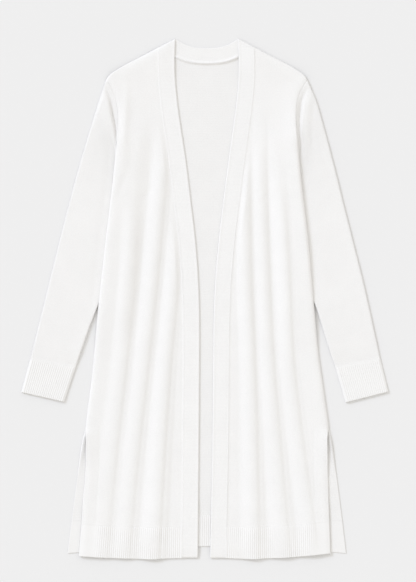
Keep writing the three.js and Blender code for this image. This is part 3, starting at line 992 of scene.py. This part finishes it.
def build_back(settings):
    """The back, from the neck and shoulders to its hem rib, worked out as two halves and joined."""
    wall = settings.panel_wall / MM
    row = panel_rows(BACK_STEP)[:, None]
    neck_share = NECK_SEAM / TIP_HALF
    parts = []
    for side in SIDES:
        wide = back_side(side, row)
        share = spaced(wide, BACK_STEP, far=AT_EDGE) / wide
        top_half = (1 - share) * TIP_HALF
        shoulder = shoulder_drop(np.maximum(top_half, NECK_SEAM))
        neck = neck_seam(np.minimum(top_half, NECK_SEAM))
        top = np.where(1 - share > neck_share, shoulder, neck)
        half = (1 - share) * wide
        drop = row_drop(row, top, back_hem(half) - BACK_RIB_HEIGHT)
        at_side = reach(half, drop, 1)
        at_top = reach(half, drop, 0)
        at_hem = reach(half, drop, 0, True)
        facing = facing_height(at_side) * smoothstep(*SLIT_START, drop)
        under = lift(side, half, drop) + slit_curl(side, half, drop)
        over = under + wall + facing + ridge(HEM_RIDGE, at_hem)
        on_fold = 1 - smoothstep(*FOLD_END, drop)
        top_share = np.where(top_half > NECK_SEAM, dome(at_top, FOLD_ROUND), sewn(at_top))
        share = lerp(dome(at_side, EDGE_ROUND), dome(at_side, FOLD_ROUND) * top_share, on_fold)
        under, over = rounded(under, over, share * sewn(at_hem), lerp(0.5, FOLD_MIDDLE, on_fold))
        parts.append([SIGN[side] * half, drop, under, over])
    left, right = parts
    joined = [np.hstack([a, b[:, -2::-1]]) for a, b in zip(left, right)]
    uv = np.stack(joined[:2], -1) * MM
    piece = sheet_piece("knit_back", *joined, uv, purl_painted_shade_material(settings))
    lay(piece, "back")


def plain_stations(width):
    """Stations across the plain border beside the ribs."""
    return np.concatenate([NEAR_EDGE, np.arange(PLAIN_START, width - 1, PLAIN_STEP)])


def rib_stations(width, plain_start, plain_end, settings):
    """Stations across a rib and the height of the ribs there, which die out towards a plain end."""
    pitch = settings.rib_pitch / MM
    count = int(round((width - plain_start - plain_end) / pitch))
    phase = np.linspace(0, count, count * RIB_POINTS + 1)
    place = plain_start + phase / count * (width - plain_start - plain_end)
    relief = settings.rib_relief / MM * (1 - np.abs(2 * (phase % 1) - 1) ** RIB_SQUARE)
    if plain_start:
        relief = relief * smoothstep(0, RIB_FADE, place - plain_start + pitch)
        before = plain_stations(plain_start)
        place = np.concatenate([before, place])
        relief = np.concatenate([np.zeros(len(before)), relief])
    if plain_end:
        relief = relief * smoothstep(0, RIB_FADE, width - plain_end + pitch - place)
        after = width - plain_stations(plain_end)[::-1]
        place = np.concatenate([place, after])
        relief = np.concatenate([relief, np.zeros(len(after))])
    return place, relief


def build_front_rib(side, settings):
    """The ribbed hem of a front, with the plain border of the slit at its outer end."""
    wall = settings.panel_wall / MM
    width = float(front_side(side, LENGTH) - band_seam(side, LENGTH))
    place, relief = rib_stations(width, 0, SLIT_BORDER, settings)
    t = (place / width)[None, :]
    v = (spaced(RIB_HEIGHT, RIB_ROW_STEP) / RIB_HEIGHT).T
    level = lerp(SIDE_RIB_DROP, LENGTH, v)
    half = lerp(band_seam(side, level), front_side(side, level), t)
    hem = front_hem(side, half)
    drop = lerp(hem - RIB_HEIGHT, hem, v)
    at_slit = reach(half, drop, 1, True)
    at_band = reach(half, drop, 1)
    at_seam = reach(half, drop, 0)
    under = front_under(side, half, drop, settings)
    shown = smoothstep(*RIB_START, at_seam)
    rims = ridge(SEAM_RIDGE, at_band) + ridge(SLIT_RIM[side], at_slit)
    over = under + wall + relief[None, :] * shown + facing_height(at_slit) + rims
    share = dome(at_slit, EDGE_ROUND) * dome(reach(half, drop, 0, True), EDGE_ROUND)
    under, over = rounded(under, over, share * sewn(at_seam) * sewn(at_band), 0.5)
    uv = np.stack([half, drop], -1) * MM
    name = f"rib_hem_front_{side}"
    piece = sheet_piece(name, SIGN[side] * half, drop, under, over, uv, rib_material(settings))
    lay(piece, f"rib_front_{side}")


def build_back_rib(settings):
    """The ribbed hem of the back, with the plain border of a slit at each end."""
    wall = settings.panel_wall / MM
    left = float(back_side("left", LENGTH))
    right = float(back_side("right", LENGTH))
    place, relief = rib_stations(left + right, SLIT_BORDER, SLIT_BORDER, settings)
    t = (place / (left + right))[None, :]
    v = (spaced(BACK_RIB_HEIGHT, BACK_RIB_ROW_STEP) / BACK_RIB_HEIGHT).T
    level = lerp(SIDE_RIB_DROP, BACK_HEM_SIDE, v)
    x = lerp(-back_side("left", level), back_side("right", level), t)
    hem = back_hem(np.abs(x))
    drop = lerp(hem - BACK_RIB_HEIGHT, hem, v)
    at_seam = reach(x, drop, 0)
    from_slit = np.minimum(reach(x, drop, 1), reach(x, drop, 1, True))
    over = wall + relief[None, :] * smoothstep(*RIB_START, at_seam) + facing_height(from_slit)
    under = np.zeros_like(x)
    share = dome(from_slit, EDGE_ROUND) * dome(reach(x, drop, 0, True), EDGE_ROUND)
    under, over = rounded(under, over, share * sewn(at_seam), 0.5)
    uv = np.stack([x, drop], -1) * MM
    piece = sheet_piece("rib_hem_back", x, drop, under, over, uv, inside_rib_painted_shade_material(settings))
    lay(piece, "rib_back")


def build_band(side, settings):
    """The band of a front, from the shoulder to the hem."""
    wall = settings.band_wall / MM
    hem = float(front_hem(side, 0.0))
    start = shoulder_drop(NECK_SEAM)
    level = row_drop(panel_rows(ROW_STEP), start, SIDE_RIB_DROP)
    tail = SIDE_RIB_DROP + spaced(hem - SIDE_RIB_DROP, ROW_STEP, far=AT_EDGE)[0]
    level = np.concatenate([level, tail[1:]])[:, None]
    pos = spaced(np.full(level.shape, BAND_WIDTH), BAND_STEP) / BAND_WIDTH
    top = shoulder_drop(lerp(NECK_SEAM, NECK_EDGE, pos))
    raised = CHEST_DROP - (CHEST_DROP - level) * (CHEST_DROP - top) / (CHEST_DROP - start)
    drop = np.where(level < CHEST_DROP, raised, level)
    half = lerp(band_seam(side, drop), band_edge(side, drop), pos)
    at_front = reach(half, drop, 1)
    at_edge = reach(half, drop, 1, True)
    at_shoulder = reach(half, drop, 0)
    under = band_under(side, half, drop, settings)
    step = (settings.band_wall - settings.panel_wall) / MM
    over = under + wall - step * np.exp(-at_front / BAND_SEAM_RUN)
    over = over + ridge(SEAM_RIDGE, at_front) + ridge(BAND_RIM, at_edge)
    share = sewn(at_front) * dome(at_edge, BAND_ROUND) * dome(reach(half, drop, 0, True), BAND_END_ROUND)
    share = share * dome(at_shoulder, FOLD_ROUND)
    anchor = lerp(0.0, 0.5, smoothstep(*SHOULDER_ANCHOR, at_shoulder))
    turn = FOLD_TURN * (1 - dome(at_shoulder, FOLD_ROUND))
    under, over = rounded(under - turn, over - turn, share, anchor)
    uv = np.stack([pos * BAND_WIDTH, drop], -1) * MM
    name = f"front_band_{side}"
    piece = sheet_piece(name, SIGN[side] * half, drop, under, over, uv, band_material(settings))
    lay(piece, f"band_{side}")


def build_neck_band(settings):
    """The band across the back of the neck, with the ridge of its seam."""
    wall = settings.band_wall / MM
    share = np.linspace(1, 0, NECK_POINTS)[None, :]
    v = (spaced(BAND_WIDTH, NECK_STEP) / BAND_WIDTH).T
    parts = []
    for side in SIDES:
        top_half = share * NECK_EDGE
        seam_half = share * NECK_SEAM
        half = lerp(top_half, seam_half, v)
        drop = lerp(along(NECK_TOP, "half", "drop", top_half), neck_seam(seam_half), v)
        parts.append([SIGN[side] * half, drop])
    left, right = parts
    x, drop = (np.hstack([a, b[:, -2::-1]]) for a, b in zip(left, right))
    from_seam = reach(x, drop, 0, True)
    under = np.zeros_like(x)
    in_neck = 1 - smoothstep(*NECK_RIDGE_END, np.abs(x))
    over = under + wall + ridge(NECK_RIDGE, from_seam) * in_neck
    at_fold = np.minimum(reach(x, drop, 1), reach(x, drop, 1, True))
    share = dome(reach(x, drop, 0), NECK_TOP_ROUND) * dome(from_seam, NECK_SEAM_ROUND)
    share = share * dome(at_fold, NECK_END_ROUND)
    under, over = rounded(under, over, share, 0.5)
    across = (np.cumsum(np.hypot(np.diff(x[-1]), np.diff(drop[-1]))) * MM).tolist()
    uv = np.stack([BAND_WIDTH * MM * v + 0 * x, np.array([0.0, *across])[None, :] + 0 * x], -1)
    piece = sheet_piece("neck_band", x, drop, under, over, uv, band_material(settings))
    lay(piece, "band_neck")


def tube_rings(side, outer, inner, wall):
    """Rings of outer and inner points of a flat tube.

    Both are given as grids that run across the tube: the plan, the distance from the nearest fold, and
    the heights of the upper and the lower side.
    """
    rings = []
    for (half, drop, from_fold, top, low), inset in ((outer, 0.0), (inner, wall)):
        share = dome(np.maximum(from_fold - inset, 0.0), FOLD_ROUND)
        share[:, [0, -1]] = 0.0
        middle = lerp(low, top, FOLD_MIDDLE)
        upper = lerp(middle, np.maximum(top - inset, middle), share)
        lower = lerp(middle, np.minimum(low + inset, middle), share)
        x = CENTRE_X + SIGN[side] * half
        y = LENGTH / 2 - drop
        above = np.stack([x, y, upper], -1)
        below = np.stack([x, y, lower], -1)[:, -2:0:-1]
        rings.append(np.concatenate([above, below], 1))
    return rings


def slant_of(line, edge):
    """How much longer a step along a line is than the same step taken square to an edge."""
    across = np.abs(line[..., 0] * edge[..., 1] - line[..., 1] * edge[..., 0])
    return np.minimum(np.hypot(*line.T).T * np.hypot(*edge.T).T / across, FOLD_SLANT)


def sleeve_fold(side, v, which):
    """A point of the outer or the inner fold of a sleeve, at a share of its length."""
    if which == "outer":
        drop = lerp(TIP_DROP, CUFF[side][0][1], v)
        return np.stack([sleeve_outer(side, drop), drop], -1)
    drop = lerp(UNDERARM_DROP, CUFF[side][1][1], v)
    return np.stack([sleeve_inner(side, drop), drop], -1)


def sleeve_plan(side, v, w):
    """Plan of a sleeve: lines across it, from the armhole, whose curve dies out below it, to the cuff."""
    hole = front_side(side, lerp(TIP_DROP, UNDERARM_DROP, w))
    curve = hole - lerp(front_side(side, TIP_DROP), front_side(side, UNDERARM_DROP), w)
    bow = (1 - np.minimum(v / ARMHOLE_BOW, 1)) ** 2
    plan = lerp(sleeve_fold(side, v, "outer"), sleeve_fold(side, v, "inner"), w[..., None])
    return plan[..., 0] + bow * (curve - SEAM_LAP), plan[..., 1]


def cap_height(side, from_body, drop):
    """Height of the ridge and depth of the valley at the top of a sleeve."""
    cap = CAP_RIDGE[side]
    away = from_body - along(CAP_VALLEY, "drop", side, drop)
    past = np.maximum(away, 0)
    risen = smoothstep(*CAP_RISE, drop)
    crest = roll((cap["height"], cap["rise"], cap["far"]), past) * (1 - smoothstep(*cap["fall"], past))
    crest = crest * risen * (1 - smoothstep(*CAP_FALL[side], drop))
    valley = cap["depth"] * np.exp(-((away / cap["width"]) ** 2))
    return crest, valley * risen * (1 - smoothstep(*VALLEY_FALL[side], drop))


def sleeve_heights(side, v, half, drop, settings):
    """Heights of the upper and lower side of a sleeve, and the distance from its nearest fold."""
    from_body = half - front_side(side, drop)
    from_outer = sleeve_outer(side, drop) - half
    sewn_in = FOLD_ROUND * (1 - smoothstep(*SEWN_IN, drop))
    from_inner = np.where(drop > UNDERARM_DROP, half - sleeve_inner(side, drop) + sewn_in, from_outer)
    from_fold = np.maximum(np.minimum(from_outer, from_inner), 0.0)
    held = 1 - np.minimum(v / PUFF_START, 1)
    base = lift(side, half, drop) * held
    full = smoothstep(PUFF_CLEAR, PUFF_NEAR, from_body) * smoothstep(0, PUFF_NEAR, from_outer)
    full = full * (1 - smoothstep(PUFF_END, 1.0, v))
    cap_shown = smoothstep(*CAP_CLEAR, from_outer)
    crest, valley = (height * cap_shown for height in cap_height(side, from_body, drop))
    to_cuff = 1 - (1 - CUFF_ROLL_SHARE) * smoothstep(PUFF_END, 1.0, v)
    inner_rim = roll(SLEEVE_ROLL, from_inner) * smoothstep(*INNER_ROLL_RISE, drop)
    rim = to_cuff * (roll(SLEEVE_ROLL, from_outer) + inner_rim)
    at_cuff = ridge(HEM_RIDGE, SLEEVE_LENGTH * (1 - v))
    clear = smoothstep(*CLEAR_OF_BODY, from_body)
    relief = (settings.puff / MM * full + crest + rim + at_cuff) * clear - valley
    past = np.maximum(from_body, 0)
    shoulder = roll(SHOULDER_ROLL, drop - shoulder_drop(front_side(side, drop)))
    stand = armhole_stand(side, drop) * np.exp(-past / STAND_SLEEVE[side])
    stand = stand + shoulder * np.exp(-past / SHOULDER_SLEEVE)
    covered = lift(side, half, drop) / LIFT_HEIGHT * (1 - smoothstep(*CONTACT_FALL, from_body))
    contact = SLEEVE_CONTACT * covered
    return from_fold, base + SLEEVE_FLAT + relief + stand + contact * (1 - held), base


def sleeve_point(side, v, share):
    """Points of the plan of a sleeve at one share of the way across it."""
    return np.stack(sleeve_plan(side, v, np.full((1, 1), share)), -1)


def build_sleeve(side, settings):
    """A sleeve, from the armhole to its cuff, with its inner wall a wall's thickness inside each fold."""
    v = spaced(SLEEVE_LENGTH, ROW_STEP).T / SLEEVE_LENGTH
    w = spaced(SLEEVE_SPACING_WIDTH, SLEEVE_STEP) / SLEEVE_SPACING_WIDTH
    outer_fold = sleeve_fold(side, v, "outer")
    inner_fold = sleeve_fold(side, v, "inner")
    width = np.hypot(*(inner_fold - outer_fold).T).T
    outer_line = sleeve_point(side, v, SLOPE_STEP) - sleeve_point(side, v, 0.0)
    inner_line = sleeve_point(side, v, 1.0) - sleeve_point(side, v, 1 - SLOPE_STEP)
    outer_slant = slant_of(outer_line, sleeve_fold(side, v + SLOPE_STEP, "outer") - outer_fold)
    inner_slant = slant_of(inner_line, sleeve_fold(side, v + SLOPE_STEP, "inner") - inner_fold)
    core = lerp(SLEEVE_WALL * outer_slant / width, 1 - SLEEVE_WALL * inner_slant / width, w)
    grids = []
    for across in (w + 0 * v, core):
        half, drop = sleeve_plan(side, v, across)
        from_fold, top, base = sleeve_heights(side, v, half, drop, settings)
        grids.append((half, drop, from_fold, top, base))
    outer, inner = tube_rings(side, *grids, SLEEVE_WALL)
    ring = np.linspace(0, SLEEVE_RING, outer.shape[1], endpoint=False)
    uv = np.stack([ring[None, :] + 0 * v, SLEEVE_LENGTH * v + 0 * ring[None, :]], -1) * MM
    piece = tube_piece(f"knit_sleeve_{side}", outer, inner, uv, knit_material(settings))
    lay(piece, f"sleeve_{side}")


def build_cuff(side, settings):
    """A cuff: a flat tube with ribs raised on its upper side."""
    corner = np.array(CUFF[side], float)
    lead = np.hypot(*(corner[2] - corner[0]))
    width = np.hypot(*(corner[1] - corner[0]))
    place, relief = rib_stations(width - 2 * CUFF_MARGIN, 0, 0, settings)
    near = NEAR_EDGE[:-1]
    w = np.concatenate([near, CUFF_MARGIN + place, (width - near)[::-1]]) / width
    bump = np.concatenate([np.zeros(len(near)), relief, np.zeros(len(near))])[None, :]
    v = spaced(lead, CUFF_ROW_STEP).T / lead
    grids = []
    for inset in (0.0, SLEEVE_WALL / width):
        across = lerp(inset, 1 - inset, w)[None, :, None]
        seam_line = lerp(corner[0], corner[1], across)
        end_line = lerp(corner[2], corner[3], across)
        plan = lerp(seam_line, end_line, v[..., None])
        half, drop = plan[..., 0], plan[..., 1]
        from_fold = width * np.minimum(across, 1 - across)[..., 0] + 0 * half
        at_seam = lead * v
        closed = 1 - dome(lead * (1 - v), CUFF_END_ROUND)
        shown = smoothstep(*RIB_START, at_seam)
        rim = CUFF_ROLL_SHARE * roll(SLEEVE_ROLL, from_fold)
        rim = rim + CUFF_FLARE * smoothstep(lead - CUFF_FLARE_RUN, lead, at_seam)
        top = SLEEVE_FLAT + bump * shown + rim + ridge(HEM_RIDGE, at_seam) - CUFF_END_DROP * closed
        low = CUFF_END_RISE * closed + 0 * half
        grids.append((half, drop, from_fold, top, low))
    outer, inner = tube_rings(side, *grids, SLEEVE_WALL)
    ring = np.linspace(0, 2 * width, outer.shape[1], endpoint=False)
    uv = np.stack([ring[None, :] + 0 * v, lead * v + 0 * ring[None, :]], -1) * MM
    piece = tube_piece(f"rib_cuff_{side}", outer, inner, uv, rib_material(settings))
    lay(piece, f"cuff_{side}")


# Materials


def add_node(tree, kind, inputs=None, **settings):
    """A shader node with its settings, and a value or a link for each named input."""
    made = tree.nodes.new(kind)
    for key, value in settings.items():
        setattr(made, key, value)
    for key, value in (inputs or {}).items():
        if isinstance(value, bpy.types.NodeSocket):
            tree.links.new(value, made.inputs[key])
        else:
            made.inputs[key].default_value = value
    return made


def maths(tree, operation, *values):
    """The result of one step of arithmetic on values or links."""
    return add_node(tree, "ShaderNodeMath", dict(enumerate(values)), operation=operation).outputs[0]


def new_group(name, inputs, outputs):
    """A shader node group with named sockets, or None where it has been built."""
    if name in bpy.data.node_groups:
        return None
    group = bpy.data.node_groups.new(name, "ShaderNodeTree")
    for label, kind in inputs:
        group.interface.new_socket(label, in_out="INPUT", socket_type=kind)
    for label, kind in outputs:
        group.interface.new_socket(label, in_out="OUTPUT", socket_type=kind)
    return group


def stockinette_group():
    """Plain knit: columns of V-shaped stitches, as a height."""
    group = new_group(
        "Stockinette",
        [("Pattern", "NodeSocketVector"), ("Wale", "NodeSocketFloat"), ("Course", "NodeSocketFloat")],
        [("Height", "NodeSocketFloat")],
    )
    if group is None:
        return bpy.data.node_groups["Stockinette"]
    source = add_node(group, "NodeGroupInput").outputs
    split = add_node(group, "ShaderNodeSeparateXYZ", {0: source["Pattern"]}).outputs
    across = maths(group, "FRACT", maths(group, "DIVIDE", split["X"], source["Wale"]))
    offset = maths(group, "ABSOLUTE", maths(group, "SUBTRACT", across, 0.5))
    from_middle = maths(group, "MULTIPLY", offset, 2.0)
    slant = maths(group, "MULTIPLY", from_middle, STITCH_SLANT)
    down = maths(group, "ADD", maths(group, "DIVIDE", split["Y"], source["Course"]), slant)
    leg = maths(group, "SINE", maths(group, "MULTIPLY", from_middle, math.pi))
    loop = maths(group, "SINE", maths(group, "MULTIPLY", maths(group, "FRACT", down), math.pi))
    height = maths(group, "POWER", maths(group, "MULTIPLY", leg, loop), 0.7)
    add_node(group, "NodeGroupOutput", {"Height": height})
    return group


def yarn_group():
    """Uneven yarn: fine fuzz and slow clouds of density."""
    group = new_group(
        "Uneven yarn",
        [("Pattern", "NodeSocketVector")],
        [("Fuzz", "NodeSocketFloat"), ("Grain", "NodeSocketFloat"), ("Cloud", "NodeSocketFloat")],
    )
    if group is None:
        return bpy.data.node_groups["Uneven yarn"]
    source = add_node(group, "NodeGroupInput").outputs["Pattern"]
    noises = {}
    for label, scale, detail in (("Fuzz", 2600.0, 2.0), ("Grain", 420.0, 2.0), ("Cloud", 22.0, 3.0)):
        inputs = {"Vector": source, "Scale": scale, "Detail": detail}
        noise = add_node(group, "ShaderNodeTexNoise", inputs)
        noises[label] = noise.outputs["Fac"]
    add_node(group, "NodeGroupOutput", noises)
    return group


def cloth_material(name, colour, wale, course, stitch_depth, line_depth=0.0, grain_share=0.10):
    """A matte knit with stitches, grain and slow clouds of density, lines across where it has them, and
    painted shade in the low parts of the stitches.
    """
    existing = bpy.data.materials.get(name)
    if existing:
        return existing
    material = bpy.data.materials.new(name)
    material.use_nodes = True
    tree = material.node_tree
    tree.nodes.clear()
    pattern = add_node(tree, "ShaderNodeUVMap", uv_map="Pattern").outputs["UV"]
    stitches = add_node(tree, "ShaderNodeGroup", node_tree=stockinette_group())
    tree.links.new(pattern, stitches.inputs["Pattern"])
    stitches.inputs["Wale"].default_value = wale
    stitches.inputs["Course"].default_value = course
    yarn = add_node(tree, "ShaderNodeGroup", node_tree=yarn_group())
    tree.links.new(pattern, yarn.inputs["Pattern"])
    height = stitches.outputs["Height"]
    if line_depth:
        split = add_node(tree, "ShaderNodeSeparateXYZ", {0: pattern}).outputs
        turns = maths(tree, "MULTIPLY", split["Y"], math.pi / course)
        line = maths(tree, "MULTIPLY", maths(tree, "SINE", turns), line_depth)
        height = maths(tree, "ADD", height, line)
    tone = maths(tree, "MULTIPLY", maths(tree, "SUBTRACT", yarn.outputs["Cloud"], 0.5), TONE_AND_GAP_SHADE_SHARE)
    grain = maths(tree, "MULTIPLY", maths(tree, "SUBTRACT", yarn.outputs["Grain"], 0.5), grain_share)
    # Painted shade: the colour is darker where the stitches lie low, in the gaps between the loops
    painted_gap_shade = maths(tree, "MULTIPLY", maths(tree, "SUBTRACT", height, 0.6), TONE_AND_GAP_SHADE_SHARE)
    value = maths(tree, "ADD", maths(tree, "ADD", tone, grain), maths(tree, "ADD", painted_gap_shade, 1.0))
    base = add_node(tree, "ShaderNodeVectorMath", {0: tuple(colour), "Scale": value}, operation="SCALE")
    fuzz = add_node(
        tree,
        "ShaderNodeBump",
        {"Height": yarn.outputs["Fuzz"], "Distance": FUZZ_DEPTH, "Strength": 0.5},
    )
    coarse = add_node(
        tree,
        "ShaderNodeBump",
        {
            "Height": yarn.outputs["Grain"],
            "Distance": GRAIN_DEPTH * grain_share,
            "Strength": 0.6,
            "Normal": fuzz.outputs[0],
        },
    )
    bump = add_node(
        tree,
        "ShaderNodeBump",
        {"Height": height, "Distance": stitch_depth, "Strength": 0.7, "Normal": coarse.outputs[0]},
    )
    shader = add_node(
        tree,
        "ShaderNodeBsdfPrincipled",
        {"Base Color": base.outputs[0], "Roughness": 0.92, "Normal": bump.outputs[0]},
    )
    shader.inputs["Specular IOR Level"].default_value = 0.15
    shader.inputs["Sheen Weight"].default_value = 0.03
    shader.inputs["Sheen Roughness"].default_value = 0.6
    add_node(tree, "ShaderNodeOutputMaterial", {"Surface": shader.outputs[0]})
    return material


def knit_material(settings):
    """Plain knit, right side out."""
    colour = settings.knit_colour
    return cloth_material("fine_plain_knit", colour, settings.wale, settings.course, stitch_depth=0.00028)


def purl_painted_shade_material(settings):
    """The back of the plain knit, as it shows inside the opening and the slits, in the inside colour,
    which is the back of the knit darkened as painted shade.
    """
    colour = settings.purl_colour_painted_shade
    size = (settings.wale, settings.course)
    return cloth_material("fine_purl_knit_painted_shade", colour, *size, stitch_depth=0.0002, line_depth=0.2)


def rib_knit(name, colour, settings):
    """Rib knit with two stitches to a rib."""
    size = (settings.rib_pitch / 2, settings.course)
    return cloth_material(name, colour, *size, stitch_depth=0.00012, grain_share=0.04)


def rib_material(settings):
    """Rib knit, right side out."""
    return rib_knit("fine_rib_knit", [RIB_TONE * c for c in settings.knit_colour], settings)


def inside_rib_painted_shade_material(settings):
    """The inside of the rib knit, in the inside colour, which is the back of the knit darkened as painted
    shade.
    """
    return rib_knit("fine_rib_inside_painted_shade", settings.purl_colour_painted_shade, settings)


def band_material(settings):
    """Firm double knit with fine lines across."""
    colour = settings.band_colour
    size = (BAND_WALE, BAND_COURSE)
    return cloth_material("double_knit_band", colour, *size, stitch_depth=0.0002, line_depth=0.35)


# Stage


def build_surface(scene, settings):
    """The pale surface that the cardigan lies on."""
    mesh = bpy.data.meshes.new("surface")
    corners = [(x * SURFACE_REACH, y * SURFACE_REACH, -SURFACE_DEPTH) for x, y in SQUARE]
    mesh.from_pydata(corners, [], [(0, 1, 2, 3)])
    floor = bpy.data.objects.new("floor", mesh)
    scene.collection.objects.link(floor)
    material = bpy.data.materials.new("pale_surface")
    material.use_nodes = True
    shader = material.node_tree.nodes["Principled BSDF"]
    shader.inputs["Base Color"].default_value = (*settings.floor_colour, 1)
    shader.inputs["Roughness"].default_value = 0.95
    shader.inputs["Specular IOR Level"].default_value = 0.1
    mesh.materials.append(material)


def build_light(scene, settings):
    """Even light all round, and a soft key light from the upper left."""
    world = scene.world or bpy.data.worlds.new("soft fill")
    scene.world = world
    world.use_nodes = True
    sky = world.node_tree.nodes["Background"]
    sky.inputs["Color"].default_value = (*FILL_TINT, 1)
    sky.inputs["Strength"].default_value = settings.sky

    light = bpy.data.lights.new("key", "SUN")
    light.energy = settings.sun
    light.color = KEY_TINT
    light.angle = KEY_SOFTNESS
    key = bpy.data.objects.new("key", light)
    key.rotation_euler = Vector(KEY_DIRECTION).to_track_quat("-Z", "Y").to_euler()
    scene.collection.objects.link(key)


def build_camera(scene, settings):
    """The camera straight above the garment."""
    camera = bpy.data.cameras.new("camera")
    camera.sensor_fit = "VERTICAL"
    camera.sensor_height = SENSOR_HEIGHT
    camera.lens = camera.sensor_height * settings.camera_height / VIEW_HEIGHT
    camera.clip_end = VIEW_REACH
    eye = bpy.data.objects.new("camera", camera)
    eye.location = (*VIEW_CENTRE, settings.camera_height)
    scene.collection.objects.link(eye)
    scene.camera = eye
    scene.view_settings.view_transform = "Standard"
    scene.view_settings.look = "None"


class CARDIGAN_OT_back(bpy.types.Operator):
    """Lay the back panel and its ribbed hem"""

    bl_idname = "cardigan.lay_back"
    bl_label = "Lay the Back"

    def execute(self, context):
        settings = context.scene.cardigan
        build_back(settings)
        build_back_rib(settings)
        return {"FINISHED"}


class CARDIGAN_OT_sleeves(bpy.types.Operator):
    """Lay both sleeves and their ribbed cuffs"""

    bl_idname = "cardigan.lay_sleeves"
    bl_label = "Lay the Sleeves"

    def execute(self, context):
        settings = context.scene.cardigan
        for side in SIDES:
            build_sleeve(side, settings)
            build_cuff(side, settings)
        return {"FINISHED"}


class CARDIGAN_OT_fronts(bpy.types.Operator):
    """Lay both fronts and their ribbed hems"""

    bl_idname = "cardigan.lay_fronts"
    bl_label = "Lay the Fronts"

    def execute(self, context):
        settings = context.scene.cardigan
        for side in SIDES:
            build_front(side, settings)
            build_front_rib(side, settings)
        return {"FINISHED"}


class CARDIGAN_OT_bands(bpy.types.Operator):
    """Lay the band along both fronts and across the back of the neck"""

    bl_idname = "cardigan.lay_bands"
    bl_label = "Lay the Bands"

    def execute(self, context):
        settings = context.scene.cardigan
        for side in SIDES:
            build_band(side, settings)
        build_neck_band(settings)
        return {"FINISHED"}


class CARDIGAN_OT_stage(bpy.types.Operator):
    """Set the surface, the light and the camera"""

    bl_idname = "cardigan.set_stage"
    bl_label = "Set the Stage"

    def execute(self, context):
        scene = context.scene
        for build in (build_surface, build_light, build_camera):
            build(scene, scene.cardigan)
        return {"FINISHED"}


OPERATORS = (
    CARDIGAN_OT_back,
    CARDIGAN_OT_sleeves,
    CARDIGAN_OT_fronts,
    CARDIGAN_OT_bands,
    CARDIGAN_OT_stage,
)


class CARDIGAN_PT_panel(bpy.types.Panel):
    """The cardigan's settings and steps"""

    bl_label = "Duster Cardigan"
    bl_idname = "CARDIGAN_PT_panel"
    bl_space_type = "VIEW_3D"
    bl_region_type = "UI"
    bl_category = "Cardigan"

    def draw(self, context):
        for name in CardiganSettings.__annotations__:
            self.layout.prop(context.scene.cardigan, name)
        for operator in OPERATORS:
            self.layout.operator(operator.bl_idname)


CLASSES = (CardiganSettings, *OPERATORS, CARDIGAN_PT_panel)


def register():
    for cls in CLASSES:
        bpy.utils.register_class(cls)
    bpy.types.Scene.cardigan = PointerProperty(type=CardiganSettings)


def unregister():
    del bpy.types.Scene.cardigan
    for cls in reversed(CLASSES):
        bpy.utils.unregister_class(cls)


def main():
    """Build the cardigan and its stage with the operators."""
    register()
    bpy.ops.cardigan.lay_back()
    bpy.ops.cardigan.lay_sleeves()
    bpy.ops.cardigan.lay_fronts()
    bpy.ops.cardigan.lay_bands()
    bpy.ops.cardigan.set_stage()


if __name__ == "__main__":
    main()
